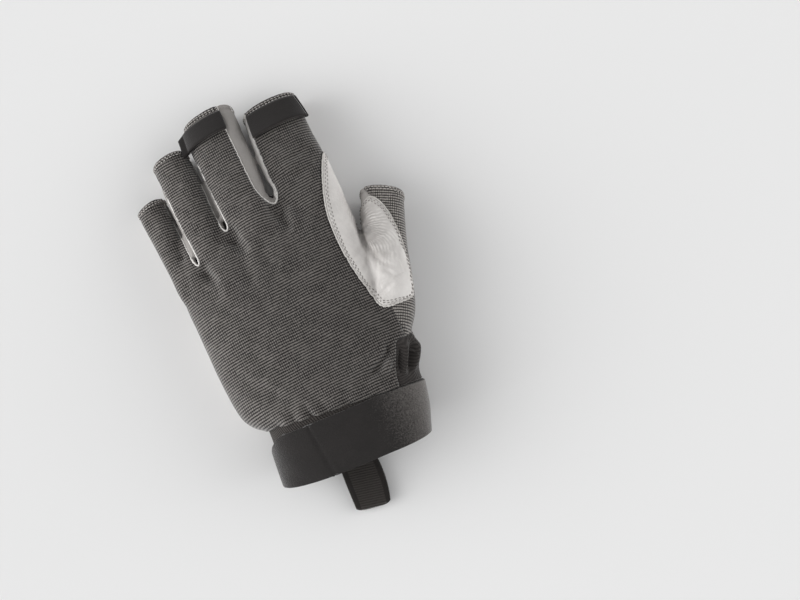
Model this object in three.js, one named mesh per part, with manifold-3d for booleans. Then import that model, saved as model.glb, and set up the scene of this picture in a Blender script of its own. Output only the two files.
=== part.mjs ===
// A left-hand half-finger climbing glove, lying palm down, in millimetres.
// +X is the thumb side, +Y runs from the wrist to the fingertips, +Z is the back of the hand.
import * as THREE from 'three';
import { mergeVertices } from 'three/addons/utils/BufferGeometryUtils.js';
import Module from 'manifold-3d';

const wasm = await Module();
wasm.setup();

// Sizes of the hand that the glove is cut for
const palmWidth = 100;       // across the knuckles
const handLength = 200;      // heel of the hand to the tip of the middle finger
const handDepth = 40;        // floor to the highest part of the back

// Materials and how far the pieces stay apart
const wall = 1.6;            // weave and leather alike
const gap = 0.3;             // between two pieces that are sewn together
const bandThick = 1.6;       // ribbed elastic
const strapThick = 1.8;      // hook-and-loop tape with its backing
const webThick = 1.4;        // webbing of the pull loop
const webWidth = 20;
const tabThick = 1.1;        // microfibre of the pull tabs, each folded double
const tabClear = 0.45;       // air between the two layers of a tab
const loopReach = 28.5;      // how far the pull loop hangs out of the cuff
const loopSide = 13.6;       // from the glove's length axis to the loop's middle, on the little-finger side
const runOut = 6;            // how far the inside of a tube is drawn out past its open end
const finest = 0.05;         // detail smaller than this is smoothed away after a cut
const sideStrip = 5.5;       // how far the finger side strips reach below the back's seam

// Tables: x in hundredths of palmWidth, y in two-hundredths of handLength, z in fortieths of handDepth
const ux = palmWidth / 100;
const uy = handLength / 200;
const uz = handDepth / 40;

// Body of the hand, wrist to knuckles.
// y, left, peak, right, left side's z, right side's z, top, bottom, skew (how far a row slants in plan);
// a bottom below 0 is leather that lies flat on the ground
const bodyRows = [
  [-59.0, -46.6, -3, 40.6, 17.0, 17.0, 37.6, 0.6, 0.060],
  [-56.0, -51.0, -3, 43.6, 16.3, 17.0, 38.4, -0.8, 0.055],
  [-52.5, -54.8, -3, 46.2, 15.4, 17.0, 38.6, -1.6, 0.045],
  [-48.5, -57.2, -3, 47.4, 14.8, 17.0, 38.4, -2.2, 0.030],
  [-43.0, -58.6, -3, 47.6, 14.4, 17.0, 38.2, -2.5, 0.010],
  [-34.0, -59.4, -2, 47.2, 14.0, 17.0, 37.8, -2.5, 0.000],
  [-20.0, -59.6, -1, 46.4, 14.0, 17.2, 37.4, -2.5, 0.000],
  [-5.0, -59.2, 0, 46.2, 14.0, 17.8, 37.0, -2.5, 0.000],
  [9.0, -58.6, 1, 46.2, 14.0, 18.2, 36.6, -1.8, 0.000],
  [21.0, -58.4, 2, 46.2, 14.2, 18.6, 36.1, -0.4, 0.000],
  [32.0, -58.2, 2, 46.4, 14.4, 18.8, 35.0, 1.8, 0.000],
  [41.0, -57.4, 2, 46.4, 14.3, 18.6, 32.6, 4.4, 0.000],
  [49.0, -56.0, 3, 45.6, 13.9, 18.2, 29.2, 7.0, 0.000],
  [60.0, -52.0, 3, 43.6, 13.9, 17.6, 23.4, 10.6, 0.000],
];
const bodyPoints = 44;
const bodyTopBend = 0.82;    // exponent of the oval: 1 is an ellipse, less is squarer
const bodyLowBend = 0.62;

// Soft dents of the back: x, y where deepest, depth, reach across, reach towards the fingers, towards the wrist
const dents = [
  [-40.5, 38, 2.4, 5, 8, 17],
  [-18.5, 46, 2.2, 5, 9, 26],
  [11.0, 48, 1.6, 5, 8, 24],
  [39.0, 4, 1.4, 5, 26, 22],
  [22.0, -56, 1.6, 4, 6, 5],
  [32.5, -53, 2.2, 3, 7, 6],
];

// Gathers of the weave where it is sewn into the wristband
const gatherDeep = 0.9;
const gatherCount = 14;
const gatherAt = -53.5;
const gatherReach = 4.5;

// Where the body ends between the fingers: x, y
const knuckleLine = [
  [-90, 40], [-58, 40], [-41, 41.5], [-30, 47], [-18.5, 52], [-3, 53], [11.5, 54], [30, 56], [90, 60],
];

// Fingers and thumb: x, y, z, half width, half height, pitch down, yaw (degrees)
const digits = {
  little: {
    roll: 20,
    rows: [
      [-48.4, 14, 15.0, 7.6, 9.6, 2, 0],
      [-50.2, 30, 15.0, 8.5, 10.6, 4, 0],
      [-50.4, 43, 14.4, 8.3, 10.1, 6, 0],
      [-50.5, 56, 13.1, 8.2, 9.6, 10, 0],
      [-50.8, 68, 11.3, 8.3, 9.2, 14, -4],
      [-51.3, 76, 9.8, 8.3, 9.0, 16, -7],
      [-51.5, 82, 8.7, 8.2, 8.9, 18, -10],
    ],
  },
  ring: {
    roll: 12,
    rows: [
      [-30.0, 20, 19.0, 10.2, 12.0, 2, 0],
      [-30.2, 38, 18.8, 10.2, 12.0, 4, 0],
      [-30.3, 52, 17.8, 10.1, 11.4, 7, 0],
      [-30.2, 66, 16.0, 10.3, 10.8, 11, 0],
      [-30.3, 80, 13.6, 10.4, 10.4, 15, 0],
      [-30.4, 92, 11.4, 10.1, 10.2, 18, -2],
      [-30.6, 100.5, 9.9, 9.7, 10.1, 20, -4],
    ],
  },
  middle: {
    roll: 14,
    rows: [
      [-3.0, 24, 21.3, 14.0, 13.4, 2, 0],
      [-3.4, 40, 21.4, 13.9, 13.0, 4, 0],
      [-3.7, 54, 20.7, 13.8, 12.4, 6, 0],
      [-3.4, 68, 19.0, 14.2, 11.8, 10, 0],
      [-2.9, 82, 16.6, 14.7, 11.4, 14, 0],
      [-2.4, 96, 13.6, 15.0, 11.1, 18, 0],
      [-1.9, 105, 11.9, 15.0, 11.0, 20, 0],
      [-1.5, 112, 10.5, 14.6, 11.0, 21, 0],
    ],
  },
  index: {
    roll: 0,
    rows: [
      [30.0, 20, 19.6, 14.0, 12.0, 2, 0],
      [31.2, 40, 19.4, 15.6, 12.4, 4, 0],
      [31.5, 54, 18.6, 15.8, 11.9, 7, 0],
      [31.6, 68, 16.8, 16.1, 11.5, 11, 0],
      [31.5, 80, 14.4, 15.7, 11.2, 15, 0],
      [31.8, 92, 11.9, 15.7, 11.0, 18, 0],
      [32.0, 103, 10.2, 15.5, 10.8, 20, 0],
    ],
  },
  thumb: {
    roll: 0,
    rows: [
      [26.0, -46.0, 17.0, 12.5, 14.5, 5, 35],
      [41.0, -28.5, 17.4, 13.8, 15.2, 8, 32],
      [48.8, -12.0, 18.0, 13.2, 14.5, 12, 29],
      [54.3, 3.5, 17.0, 12.4, 13.4, 16, 27],
      [60.3, 18.0, 14.5, 12.0, 12.2, 20, 28],
      [66.4, 32.3, 10.9, 12.0, 11.0, 24, 30],
    ],
  },
};
const digitPoints = 22;
const digitBend = 0.86;

// Height of the side seam between back and palm: y, z on the little-finger side, z on the thumb side
const seamRows = [
  [-70, 15.0, 15.0],
  [-40, 14.0, 16.5],
  [-10, 13.5, 18.0],
  [10, 13.5, 18.0],
  [30, 14.0, 12.5],
  [45, 14.0, 12.5],
  [60, 13.2, 16.5],
  [85, 9.5, 13.0],
  [112, 7.5, 9.5],
  [130, 5.0, 6.5],
];

// Plan outlines of the pieces, seen from the back of the hand (up) and where they reach under it (down)
const outlines = {
  thumb_web_patch: {
    up: [
      [49.5, 68.5], [43, 60], [38, 48], [34, 35], [32.5, 20], [33, 5], [35, -8], [38, -22.5], [47, -25],
      [55, -25.5], [57, -24], [59.5, -18], [62, -10], [63.8, 0], [64.8, 8], [65, 20], [63, 29.5], [60, 33.5],
      [55, 32], [50.5, 28.5], [47.2, 27], [48.6, 45], [60, 68],
    ],
    down: [
      [28.5, 61.5], [24, 50], [20, 35], [14, 10], [22, 4], [33, 0.5], [40, 7], [46.5, 13], [47.2, 27],
      [48.6, 45], [60, 68], [49.5, 68.5], [43, 62.5],
    ],
  },
  fourchette_little_ring: {
    deep: true,
    up: [
      [-46.2, 130], [-45.2, 84], [-44, 70], [-43.2, 60], [-42.8, 50], [-42.8, 43], [-41.2, 40], [-39.6, 41],
      [-38.7, 46], [-38.9, 65], [-39.2, 85], [-38.0, 130],
    ],
  },
  fourchette_ring_middle: {
    deep: true,
    up: [
      [-22.2, 130], [-21.2, 92], [-20.9, 70], [-21.2, 56], [-20.4, 51.5], [-18.6, 50], [-16.8, 51.2],
      [-16.0, 56], [-16.3, 70], [-16.2, 92], [-15.2, 130],
    ],
  },
  fourchette_middle_index: {
    deep: true,
    up: [
      [7.2, 130], [6.6, 112], [5.4, 100], [5.2, 70], [6.2, 60], [8.4, 54.5], [11.4, 51.5], [14.4, 54],
      [16.6, 60], [16.8, 75], [17.2, 92], [18.6, 130],
    ],
  },
  wrist_gusset: {
    up: [[40, -44.5], [62, -43.0], [62, -72], [27.5, -72], [29.5, -60]],
  },
  thumb_back: {
    up: [
      [43.7, -12], [58, -12], [58, 29], [60, 33.5], [57.5, 42], [95, 60], [95, -80], [43.7, -80],
    ],
    down: [
      [76, 30], [72.5, 22], [61, 3], [54, -14], [45, -31], [30, -47], [10, -59.5], [8, -80], [95, -80], [95, 40],
    ],
  },
};
const backOutline = [
  [-120, -140], [46, -140], [46, -24], [49, 30], [49.5, 68.5], [140, 100], [140, 170], [-120, 170],
];

// Wristband: the body's columns, and lean (how much further towards the wrist the top of a row lies)
const bandRows = [
  [-59.0, -46.6, -3, 40.6, 17.0, 17.0, 37.6, 0.6, 0.060, 0.0],
  [-65.5, -47.4, -3, 39.8, 17.0, 17.0, 37.4, 0.6, 0.060, 0.06],
  [-73.8, -49.0, -3, 37.8, 16.6, 16.6, 36.8, 0.6, 0.062, 0.14],
  [-82.2, -50.6, -4, 35.2, 16.0, 16.2, 35.8, 0.6, 0.064, 0.20],
  [-90.0, -51.8, -5, 32.0, 15.4, 15.8, 34.4, 0.6, 0.066, 0.25],
];
const bandPoints = 44;

// Closure strap: share of the band's length, and how far its free end reaches round, in ring points
const strapRows = [
  [0.17, 20.4],
  [0.21, 21.6],
  [0.30, 22.6],
  [0.45, 23.1],
  [0.65, 23.2],
  [0.85, 23.0],
  [1.03, 22.7],
];
const strapStart = -2;       // the sewn end, below the thumb side, in ring points
const strapTurn = 19;        // from here on the columns crowd towards the free end

// Pull tabs: digit, rows along it (row numbers), ring points it runs over, how far the fold stands off
const tabs = {
  middle_pull_tab: { digit: 'middle', from: 5.24, to: 6.42, sewn: 3.1, fold: 8.7, standOff: 4.4 },
  index_pull_tab: { digit: 'index', from: 4.76, to: 5.82, sewn: 8.8, fold: 1.4, standOff: 1.2 },
};
const tabSteps = 8;
const tabDroop = 0.05;       // how much of the fingertip's fall the standing fold keeps

const rad = Math.PI / 180;
const smooth = (t) => Math.exp(-t * t);
const power = (v, bend) => Math.sign(v) * Math.abs(v) ** bend;

// How far a point of the hand's surface sinks, from the dents and the gathers
function sink(x, y, turn) {
  let deep = 0;
  for (const [dx, dy, depth, across, ahead, behind] of dents) {
    const along = (y / uy - dy) / (y / uy > dy ? ahead : behind);
    deep += depth * smooth((x / ux - dx) / across) * smooth(along);
  }
  const gather = gatherDeep * smooth((y / uy - gatherAt) / gatherReach);
  return (deep + gather * Math.cos(gatherCount * turn)) * uz;
}

// A ring of the hand's body or of the wristband; inset is how far inside the outer face it lies
function bodyRing(row, points, inset, folds, lift = 0) {
  const [y0, left, peak, right, leftZ, rightZ, top, low, skew, lean = 0] = row;
  const ring = [];
  for (let k = 0; k < points; k += 1) {
    const turn = (k / points) * 2 * Math.PI;
    const c = Math.cos(turn);
    const s = Math.sin(turn);
    const reach = c > 0 ? (right - peak) * ux - inset : (peak - left) * ux - inset;
    const sideZ = (c > 0 ? rightZ : leftZ) * uz;
    const x = peak * ux + reach * power(c, s > 0 ? bodyTopBend : bodyLowBend);
    const up = s > 0 ? (top * uz - sideZ - inset) : (sideZ - low * uz - inset);
    let z = sideZ + up * power(s, s > 0 ? bodyTopBend : bodyLowBend);
    const y = y0 * uy - skew * x - lean * (z - rightZ * uz);
    if (folds && s > 0) z -= sink(x, y, turn) * Math.sqrt(s);
    ring.push(new THREE.Vector3(x, y, Math.max(z, inset + lift)));
  }
  return ring;
}

// The two directions that a digit's ring is drawn in, and the way the digit points
function digitAxes(pitch, yaw, roll) {
  const spin = new THREE.Matrix4().makeRotationFromEuler(
    new THREE.Euler(-pitch * rad, -roll * rad, -yaw * rad, 'ZXY'),
  );
  const across = new THREE.Vector3(1, 0, 0).applyMatrix4(spin);
  const ahead = new THREE.Vector3(0, 1, 0).applyMatrix4(spin);
  const up = new THREE.Vector3(0, 0, 1).applyMatrix4(spin);
  return { across, ahead, up };
}

function digitRing(digit, row, inset, push = 0) {
  const [x, y, z, halfWidth, halfHeight, pitch, yaw] = row;
  const { across, ahead, up } = digitAxes(pitch, yaw, digit.roll);
  const ring = [];
  for (let k = 0; k < digitPoints; k += 1) {
    const turn = (k / digitPoints) * 2 * Math.PI;
    const p = new THREE.Vector3(x * ux, y * uy, z * uz);
    p.addScaledVector(across, (halfWidth * ux - inset) * power(Math.cos(turn), digitBend));
    p.addScaledVector(up, (halfHeight * uz - inset) * power(Math.sin(turn), digitBend));
    p.addScaledVector(ahead, push);
    p.z = Math.max(p.z, inset);
    ring.push(p);
  }
  return ring;
}

// A geometry from points and triangles
function toGeometry(points, faces) {
  const geometry = new THREE.BufferGeometry();
  const flat = points.flatMap((p) => [p.x, p.y, p.z]);
  geometry.setAttribute('position', new THREE.Float32BufferAttribute(flat, 3));
  geometry.setIndex(faces.flat());
  return geometry;
}

// A closed skin over a run of rings, each a closed loop with the same number of points
function loft(rings) {
  const count = rings[0].length;
  const points = rings.flat();
  const faces = [];
  for (let i = 0; i + 1 < rings.length; i += 1) {
    for (let k = 0; k < count; k += 1) {
      const a = i * count + k;
      const b = i * count + ((k + 1) % count);
      faces.push([a, a + count, b + count], [a, b + count, b]);
    }
  }
  for (const end of [0, rings.length - 1]) {
    const middle = new THREE.Vector3();
    rings[end].forEach((p) => middle.addScaledVector(p, 1 / count));
    points.push(middle);
    for (let k = 0; k < count; k += 1) {
      const a = end * count + k;
      const b = end * count + ((k + 1) % count);
      faces.push(end === 0 ? [a, b, points.length - 1] : [b, a, points.length - 1]);
    }
  }
  return toGeometry(points, faces);
}

// A sheet of even thickness with its middle layer on a grid of points
function sheet(grid, thick) {
  const rows = grid.length;
  const columns = grid[0].length;
  const sides = [[], []];
  grid.forEach((row, i) => row.forEach((p, j) => {
    const alongRow = new THREE.Vector3().subVectors(
      row[Math.min(j + 1, columns - 1)],
      row[Math.max(j - 1, 0)],
    );
    const acrossRows = new THREE.Vector3().subVectors(
      grid[Math.min(i + 1, rows - 1)][j],
      grid[Math.max(i - 1, 0)][j],
    );
    const normal = alongRow.cross(acrossRows).normalize();
    sides[0].push(p.clone().addScaledVector(normal, thick / 2));
    sides[1].push(p.clone().addScaledVector(normal, -thick / 2));
  }));
  const at = (side, i, j) => side * rows * columns + i * columns + j;
  const faces = [];
  const quad = (a, b, c, d) => faces.push([a, b, c], [a, c, d]);
  for (let i = 0; i + 1 < rows; i += 1) {
    for (let j = 0; j + 1 < columns; j += 1) {
      quad(at(0, i, j), at(0, i, j + 1), at(0, i + 1, j + 1), at(0, i + 1, j));
      quad(at(1, i, j), at(1, i + 1, j), at(1, i + 1, j + 1), at(1, i, j + 1));
    }
  }
  for (let i = 0; i + 1 < rows; i += 1) {
    quad(at(0, i, 0), at(0, i + 1, 0), at(1, i + 1, 0), at(1, i, 0));
    quad(at(0, i + 1, columns - 1), at(0, i, columns - 1), at(1, i, columns - 1), at(1, i + 1, columns - 1));
  }
  for (let j = 0; j + 1 < columns; j += 1) {
    quad(at(0, 0, j + 1), at(0, 0, j), at(1, 0, j), at(1, 0, j + 1));
    quad(at(0, rows - 1, j), at(0, rows - 1, j + 1), at(1, rows - 1, j + 1), at(1, rows - 1, j));
  }
  return toGeometry([...sides[0], ...sides[1]], faces);
}

function toSolid(geometry) {
  const bare = geometry.clone();
  bare.deleteAttribute('normal');
  bare.deleteAttribute('uv');
  const merged = mergeVertices(bare, 1e-3);
  const triVerts = new Uint32Array(merged.index.array);
  const vertProperties = new Float32Array(merged.attributes.position.array);
  const solid = new wasm.Manifold(new wasm.Mesh({ numProp: 3, vertProperties, triVerts }));
  if (solid.volume() > 0) return solid;
  for (let i = 0; i < triVerts.length; i += 3) {
    [triVerts[i], triVerts[i + 1]] = [triVerts[i + 1], triVerts[i]];
  }
  return new wasm.Manifold(new wasm.Mesh({ numProp: 3, vertProperties, triVerts }));
}

// The largest part of a solid, as a geometry; crumbs that a cut leaves are dropped
function largestPart(solid) {
  const mesh = solid.simplify(finest).getMesh();
  const geometry = new THREE.BufferGeometry();
  geometry.setAttribute('position', new THREE.Float32BufferAttribute(mesh.vertProperties, 3));
  geometry.setIndex(new THREE.Uint32BufferAttribute(mesh.triVerts, 1));
  const parts = toSolid(geometry).decompose();
  const best = parts.reduce((a, b) => (b.volume() > a.volume() ? b : a)).getMesh();
  const kept = new THREE.BufferGeometry();
  kept.setAttribute('position', new THREE.Float32BufferAttribute(best.vertProperties, 3));
  kept.setIndex(new THREE.Uint32BufferAttribute(best.triVerts, 1));
  return kept;
}

// A plan outline grown outwards by a distance
function grow(outline, by) {
  let area = 0;
  outline.forEach(([x, y], i) => {
    const [nx, ny] = outline[(i + 1) % outline.length];
    area += x * ny - nx * y;
  });
  const way = Math.sign(area) * by;
  return outline.map(([x, y], i) => {
    const [px, py] = outline[(i + outline.length - 1) % outline.length];
    const [nx, ny] = outline[(i + 1) % outline.length];
    const before = new THREE.Vector2(y - py, px - x).normalize();
    const after = new THREE.Vector2(ny - y, x - nx).normalize();
    const sum = before.add(after);
    return [x + (sum.x * way * 2) / Math.max(sum.lengthSq(), 1), y + (sum.y * way * 2) / Math.max(sum.lengthSq(), 1)];
  });
}

// A prism over a plan outline, between two heights
function prism(outline, low, high) {
  const shape = new THREE.Shape(outline.map(([x, y]) => new THREE.Vector2(x, y)));
  const geometry = new THREE.ExtrudeGeometry(shape, { depth: high - low, bevelEnabled: false });
  geometry.translate(0, 0, low);
  return toSolid(geometry);
}

const sky = 3 * handDepth;
const underBand = webThick + gap;  // the webbing of the pull loop lies under the wristband
const scaled = (outline) => outline.map(([x, y]) => [x * ux, y * uy]);

// Everything above the side seam, the seam raised by a shift
function aboveSeam(shift) {
  const strips = seamRows.map(([y, left, right]) => {
    const slope = (right - left) / 106;
    const at = (x) => new THREE.Vector3(x * ux, y * uy, (left + slope * (x + 58)) * uz + shift);
    const ends = [at(-110), at(-58), at(48), at(75), at(130)];
    ends[3].z = ends[2].z;
    ends[4].z = ends[2].z;
    ends[0].z = ends[1].z;
    return [...ends, new THREE.Vector3(130 * ux, y * uy, sky), new THREE.Vector3(-110 * ux, y * uy, sky)];
  });
  strips[0].forEach((p) => { p.y -= handLength; });
  strips[strips.length - 1].forEach((p) => { p.y += handLength; });
  return toSolid(loft(strips));
}

// The room of one piece: its outlines over and under the seam, grown by a distance
function room(piece, by) {
  const floor = -2 * handDepth;
  const deep = piece.deep ? -sideStrip : 0;
  let solid = prism(grow(scaled(piece.up), by), floor, sky).intersect(aboveSeam(deep - by));
  if (piece.down) {
    const under = prism(grow(scaled(piece.down), by), floor, sky).subtract(aboveSeam(deep + by));
    solid = solid.add(under);
  }
  return solid;
}

// The hand's shell: body, fingers and thumb, hollow, open at the wrist and at every tip
function handSkin(inset) {
  const rows = bodyRows.map((row, i) => bodyRing(row, bodyPoints, inset, true, i === 0 ? underBand : 0));
  if (inset > 0) rows.unshift(rows[0].map((p) => p.clone().add(new THREE.Vector3(0, -runOut, 0))));
  const cut = knuckleLine.map(([x, y]) => [x * ux, y * uy - inset]);
  const reach = [...cut, [90 * ux, -handLength], [-90 * ux, -handLength]];
  let solid = toSolid(loft(rows)).intersect(prism(reach, -handDepth, sky));
  for (const digit of Object.values(digits)) {
    const rings = digit.rows.map((row) => digitRing(digit, row, inset));
    if (inset > 0) rings.push(digitRing(digit, digit.rows[digit.rows.length - 1], inset, runOut));
    solid = solid.add(toSolid(loft(rings)));
  }
  return solid;
}

const colours = {
  weave: { color: '#56534f', roughness: 0.9 },
  leather: { color: '#d2cfcc', roughness: 0.75 },
  elastic: { color: '#2c2827', roughness: 0.9 },
  strap: { color: '#363231', roughness: 0.95 },
  webbing: { color: '#262221', roughness: 0.8 },
  tab: { color: '#332f2e', roughness: 0.9 },
};

const group = new THREE.Group();
group.name = 'climbing_glove';

function addPiece(name, geometry, slot) {
  geometry.computeVertexNormals();
  const material = new THREE.MeshStandardMaterial({ ...colours[slot], metalness: 0 });
  material.name = slot;
  const mesh = new THREE.Mesh(geometry, material);
  mesh.name = name;
  group.add(mesh);
}

// Sewn panels: each takes its room out of the shell, and the next ones keep the gap from it
const shell = handSkin(0).subtract(handSkin(wall));
const slots = {
  thumb_web_patch: 'leather',
  fourchette_little_ring: 'leather',
  fourchette_ring_middle: 'leather',
  fourchette_middle_index: 'leather',
  wrist_gusset: 'elastic',
  thumb_back: 'weave',
};
let rest = shell;
for (const [name, slot] of Object.entries(slots)) {
  const piece = rest.intersect(room(outlines[name], 0));
  addPiece(name, largestPart(piece), slot);
  rest = rest.subtract(room(outlines[name], gap));
}
addPiece('back_panel', largestPart(rest.intersect(room({ up: backOutline }, 0))), 'weave');
addPiece('palm_panel', largestPart(rest.subtract(room({ up: backOutline }, gap))), 'leather');

// Wristband: a tube that starts one gap below the hand
const bandStart = bandRows.map((row, i) => (i === 0 ? [row[0] - gap / uy, ...row.slice(1)] : row));
const bandOuter = bandStart.map((row) => bodyRing(row, bandPoints, 0, false, underBand));
const bandInner = bandStart.map((row) => bodyRing(row, bandPoints, bandThick, false, underBand));
bandInner.unshift(bandInner[0].map((p) => p.clone().add(new THREE.Vector3(0, runOut, 0))));
bandInner.push(bandInner[bandInner.length - 1].map((p) => p.clone().add(new THREE.Vector3(0, -runOut, 0))));
const band = toSolid(loft(bandOuter)).subtract(toSolid(loft(bandInner)));
addPiece('wristband', largestPart(band), 'elastic');

// A point on a run of rings, at a share of a row and of a ring point
function onRings(rings, rowAt, pointAt) {
  const count = rings[0].length;
  const i = Math.min(Math.max(Math.floor(rowAt), 0), rings.length - 2);
  const k = Math.floor(pointAt);
  const corner = (r, q) => rings[r][((q % count) + count) % count];
  const near = new THREE.Vector3().lerpVectors(corner(i, k), corner(i, k + 1), pointAt - k);
  const far = new THREE.Vector3().lerpVectors(corner(i + 1, k), corner(i + 1, k + 1), pointAt - k);
  return near.lerp(far, rowAt - i);
}

// The direction away from a run of rings at such a point
function awayFrom(rings, rowAt, pointAt) {
  const along = onRings(rings, rowAt + 0.2, pointAt).sub(onRings(rings, rowAt - 0.2, pointAt));
  const round = onRings(rings, rowAt, pointAt + 0.6).sub(onRings(rings, rowAt, pointAt - 0.6));
  const away = along.cross(round).normalize();
  const middle = new THREE.Vector3();
  const ring = rings[Math.round(Math.min(Math.max(rowAt, 0), rings.length - 1))];
  ring.forEach((p) => middle.addScaledVector(p, 1 / ring.length));
  const outward = onRings(rings, rowAt, pointAt).sub(middle).dot(away) > 0;
  return outward ? away : away.negate();
}

// Closure strap: follows the band from its sewn end on the thumb side over the back to its free end
const strapLift = 2.2 * gap + strapThick / 2;
const strapTail = 3;
const strapGrid = strapRows.map(([share, free]) => {
  const line = [];
  for (let j = strapStart; j <= strapTurn + strapTail; j += 1) {
    const at = j <= strapTurn ? j : strapTurn + ((free - strapTurn) * (j - strapTurn)) / strapTail;
    const rowAt = share * (bandOuter.length - 1);
    const away = awayFrom(bandOuter, rowAt, at);
    line.push(onRings(bandOuter, rowAt, at).addScaledVector(away, strapLift));
  }
  return line;
});
addPiece('closure_strap', toGeometryOf(sheet(strapGrid, strapThick)), 'strap');

// Pull tabs: a strip folded double over the back of a fingertip, its fold standing off to one side
for (const [name, tab] of Object.entries(tabs)) {
  const digit = digits[tab.digit];
  const rings = digit.rows.map((row) => digitRing(digit, row, 0));
  const grid = [0, 0.5, 1].map((share) => {
    const rowAt = tab.from + (tab.to - tab.from) * share;
    const low = [];
    const high = [];
    for (let j = 0; j <= tabSteps; j += 1) {
      const at = tab.sewn + ((tab.fold - tab.sewn) * j) / tabSteps;
      const away = awayFrom(rings, rowAt, at);
      const p = onRings(rings, rowAt, at);
      low.push(p.clone().addScaledVector(away, 2 * gap + tabThick / 2));
      high.unshift(p.clone().addScaledVector(away, 2 * gap + 1.5 * tabThick + tabClear));
    }
    const out = low[tabSteps].clone().sub(low[tabSteps - 1]);
    out.z *= tabDroop;
    out.normalize();
    const up = high[0].clone().sub(low[tabSteps]).normalize();
    const bulge = (tabThick + tabClear) / 2;
    const tip = low[tabSteps].clone().addScaledVector(out, tab.standOff * ux - bulge);
    const fold = [
      low[tabSteps].clone().addScaledVector(out, 0.5 * (tab.standOff * ux - bulge)),
      tip.clone(),
      tip.clone().addScaledVector(out, bulge).addScaledVector(up, bulge),
      tip.clone().addScaledVector(up, 2 * bulge),
      high[0].clone().addScaledVector(out, 0.5 * (tab.standOff * ux - bulge)),
    ];
    return [...low, ...fold, ...high];
  });
  addPiece(name, toGeometryOf(sheet(grid, tabThick)), 'tab');
}

// Pull loop: webbing sewn under the wristband, folded back at its end and tucked inside the band
const cuffEnd = bandRows[bandRows.length - 1][0] * uy;
const loopTop = bandRows[0][0] * uy - 4 * gap;
const innerTop = webThick + gap + bandThick + gap;
const loopPath = [
  [loopTop, webThick / 2],
  [(loopTop + cuffEnd) / 2, webThick / 2],
  [cuffEnd - 1, webThick / 2],
  [cuffEnd - 0.55 * loopReach, webThick / 2],
  [cuffEnd - loopReach + 1.2, webThick / 2],
  [cuffEnd - loopReach, webThick / 2 + 0.35 * innerTop],
  [cuffEnd - loopReach, webThick / 2 + 0.7 * innerTop],
  [cuffEnd - loopReach + 1.2, webThick / 2 + innerTop],
  [cuffEnd - 0.55 * loopReach, webThick / 2 + innerTop],
  [cuffEnd - 1, webThick / 2 + innerTop],
  [cuffEnd + 12, webThick / 2 + innerTop],
];
const loopGrid = [-0.5, 0, 0.5].map((side) => loopPath.map(([y, z]) => {
  const out = Math.max(0, (cuffEnd - y) / loopReach);
  return new THREE.Vector3(-loopSide + side * webWidth + 1.2 * out * ux, y, z);
}));
addPiece('pull_loop', toGeometryOf(sheet(loopGrid, webThick)), 'webbing');

// A checked, outward-facing copy of a sheet's geometry
function toGeometryOf(geometry) {
  return largestPart(toSolid(geometry));
}

// The origin is the middle of the glove's footprint, on the ground
const extent = new THREE.Box3().setFromObject(group);
const middle = extent.getCenter(new THREE.Vector3());
group.position.set(-middle.x, -middle.y, -extent.min.z);

export default group;
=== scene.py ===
import math

import bmesh
import bpy
import numpy as np
from mathutils import Matrix, Vector
from mathutils.bvhtree import BVHTree
from mathutils.kdtree import KDTree


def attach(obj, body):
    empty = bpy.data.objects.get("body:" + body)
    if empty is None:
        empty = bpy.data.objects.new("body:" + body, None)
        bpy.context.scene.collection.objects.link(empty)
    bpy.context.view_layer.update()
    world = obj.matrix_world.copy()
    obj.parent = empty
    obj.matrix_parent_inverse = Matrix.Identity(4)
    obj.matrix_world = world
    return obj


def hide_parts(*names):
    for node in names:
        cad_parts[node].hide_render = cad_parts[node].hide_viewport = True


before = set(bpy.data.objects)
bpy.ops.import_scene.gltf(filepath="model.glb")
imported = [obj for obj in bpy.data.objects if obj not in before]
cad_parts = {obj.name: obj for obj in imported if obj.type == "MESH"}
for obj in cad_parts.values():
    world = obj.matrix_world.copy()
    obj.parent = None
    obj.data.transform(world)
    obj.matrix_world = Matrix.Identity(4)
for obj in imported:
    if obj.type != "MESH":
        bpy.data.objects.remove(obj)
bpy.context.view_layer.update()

# TABLE, LIGHT AND CAMERA
# The glove lies palm down on a plain pale table and is seen from straight above, turned so that
# the fingers point to the upper left. Lengths in this file are millimetres until a mesh is made.

PLAN_SHIFT = np.array([-8.6202, 1.5058, 0.0])   # from the pattern's origin to the footprint's middle


def srgb(code):
    """A hex colour as linear RGBA."""
    parts = [int(code[i:i + 2], 16) / 255 for i in (1, 3, 5)]
    linear = [c / 12.92 if c <= 0.04045 else ((c + 0.055) / 1.055) ** 2.4 for c in parts]
    return (*linear, 1.0)


def node(tree, kind, **settings):
    """Adds a shader node. A setting names a socket (in0, in1 ... by number) or a property of the node;
    its value is a number, a hex colour, a socket to link, or a node whose first output is linked."""
    made = tree.nodes.new(kind)
    for key, value in settings.items():
        socket = made.inputs[int(key[2:])] if key[2:].isdigit() else made.inputs.get(key.replace("_", " "))
        if socket is None:
            setattr(made, key, value)
        elif isinstance(value, (bpy.types.Node, bpy.types.NodeSocket)):
            tree.links.new(value if isinstance(value, bpy.types.NodeSocket) else value.outputs[0], socket)
        else:
            socket.default_value = srgb(value) if isinstance(value, str) else value
    return made


def new_material(name):
    material = bpy.data.materials.new(name)
    material.use_nodes = True
    material.node_tree.nodes.clear()
    return material, material.node_tree


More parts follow.
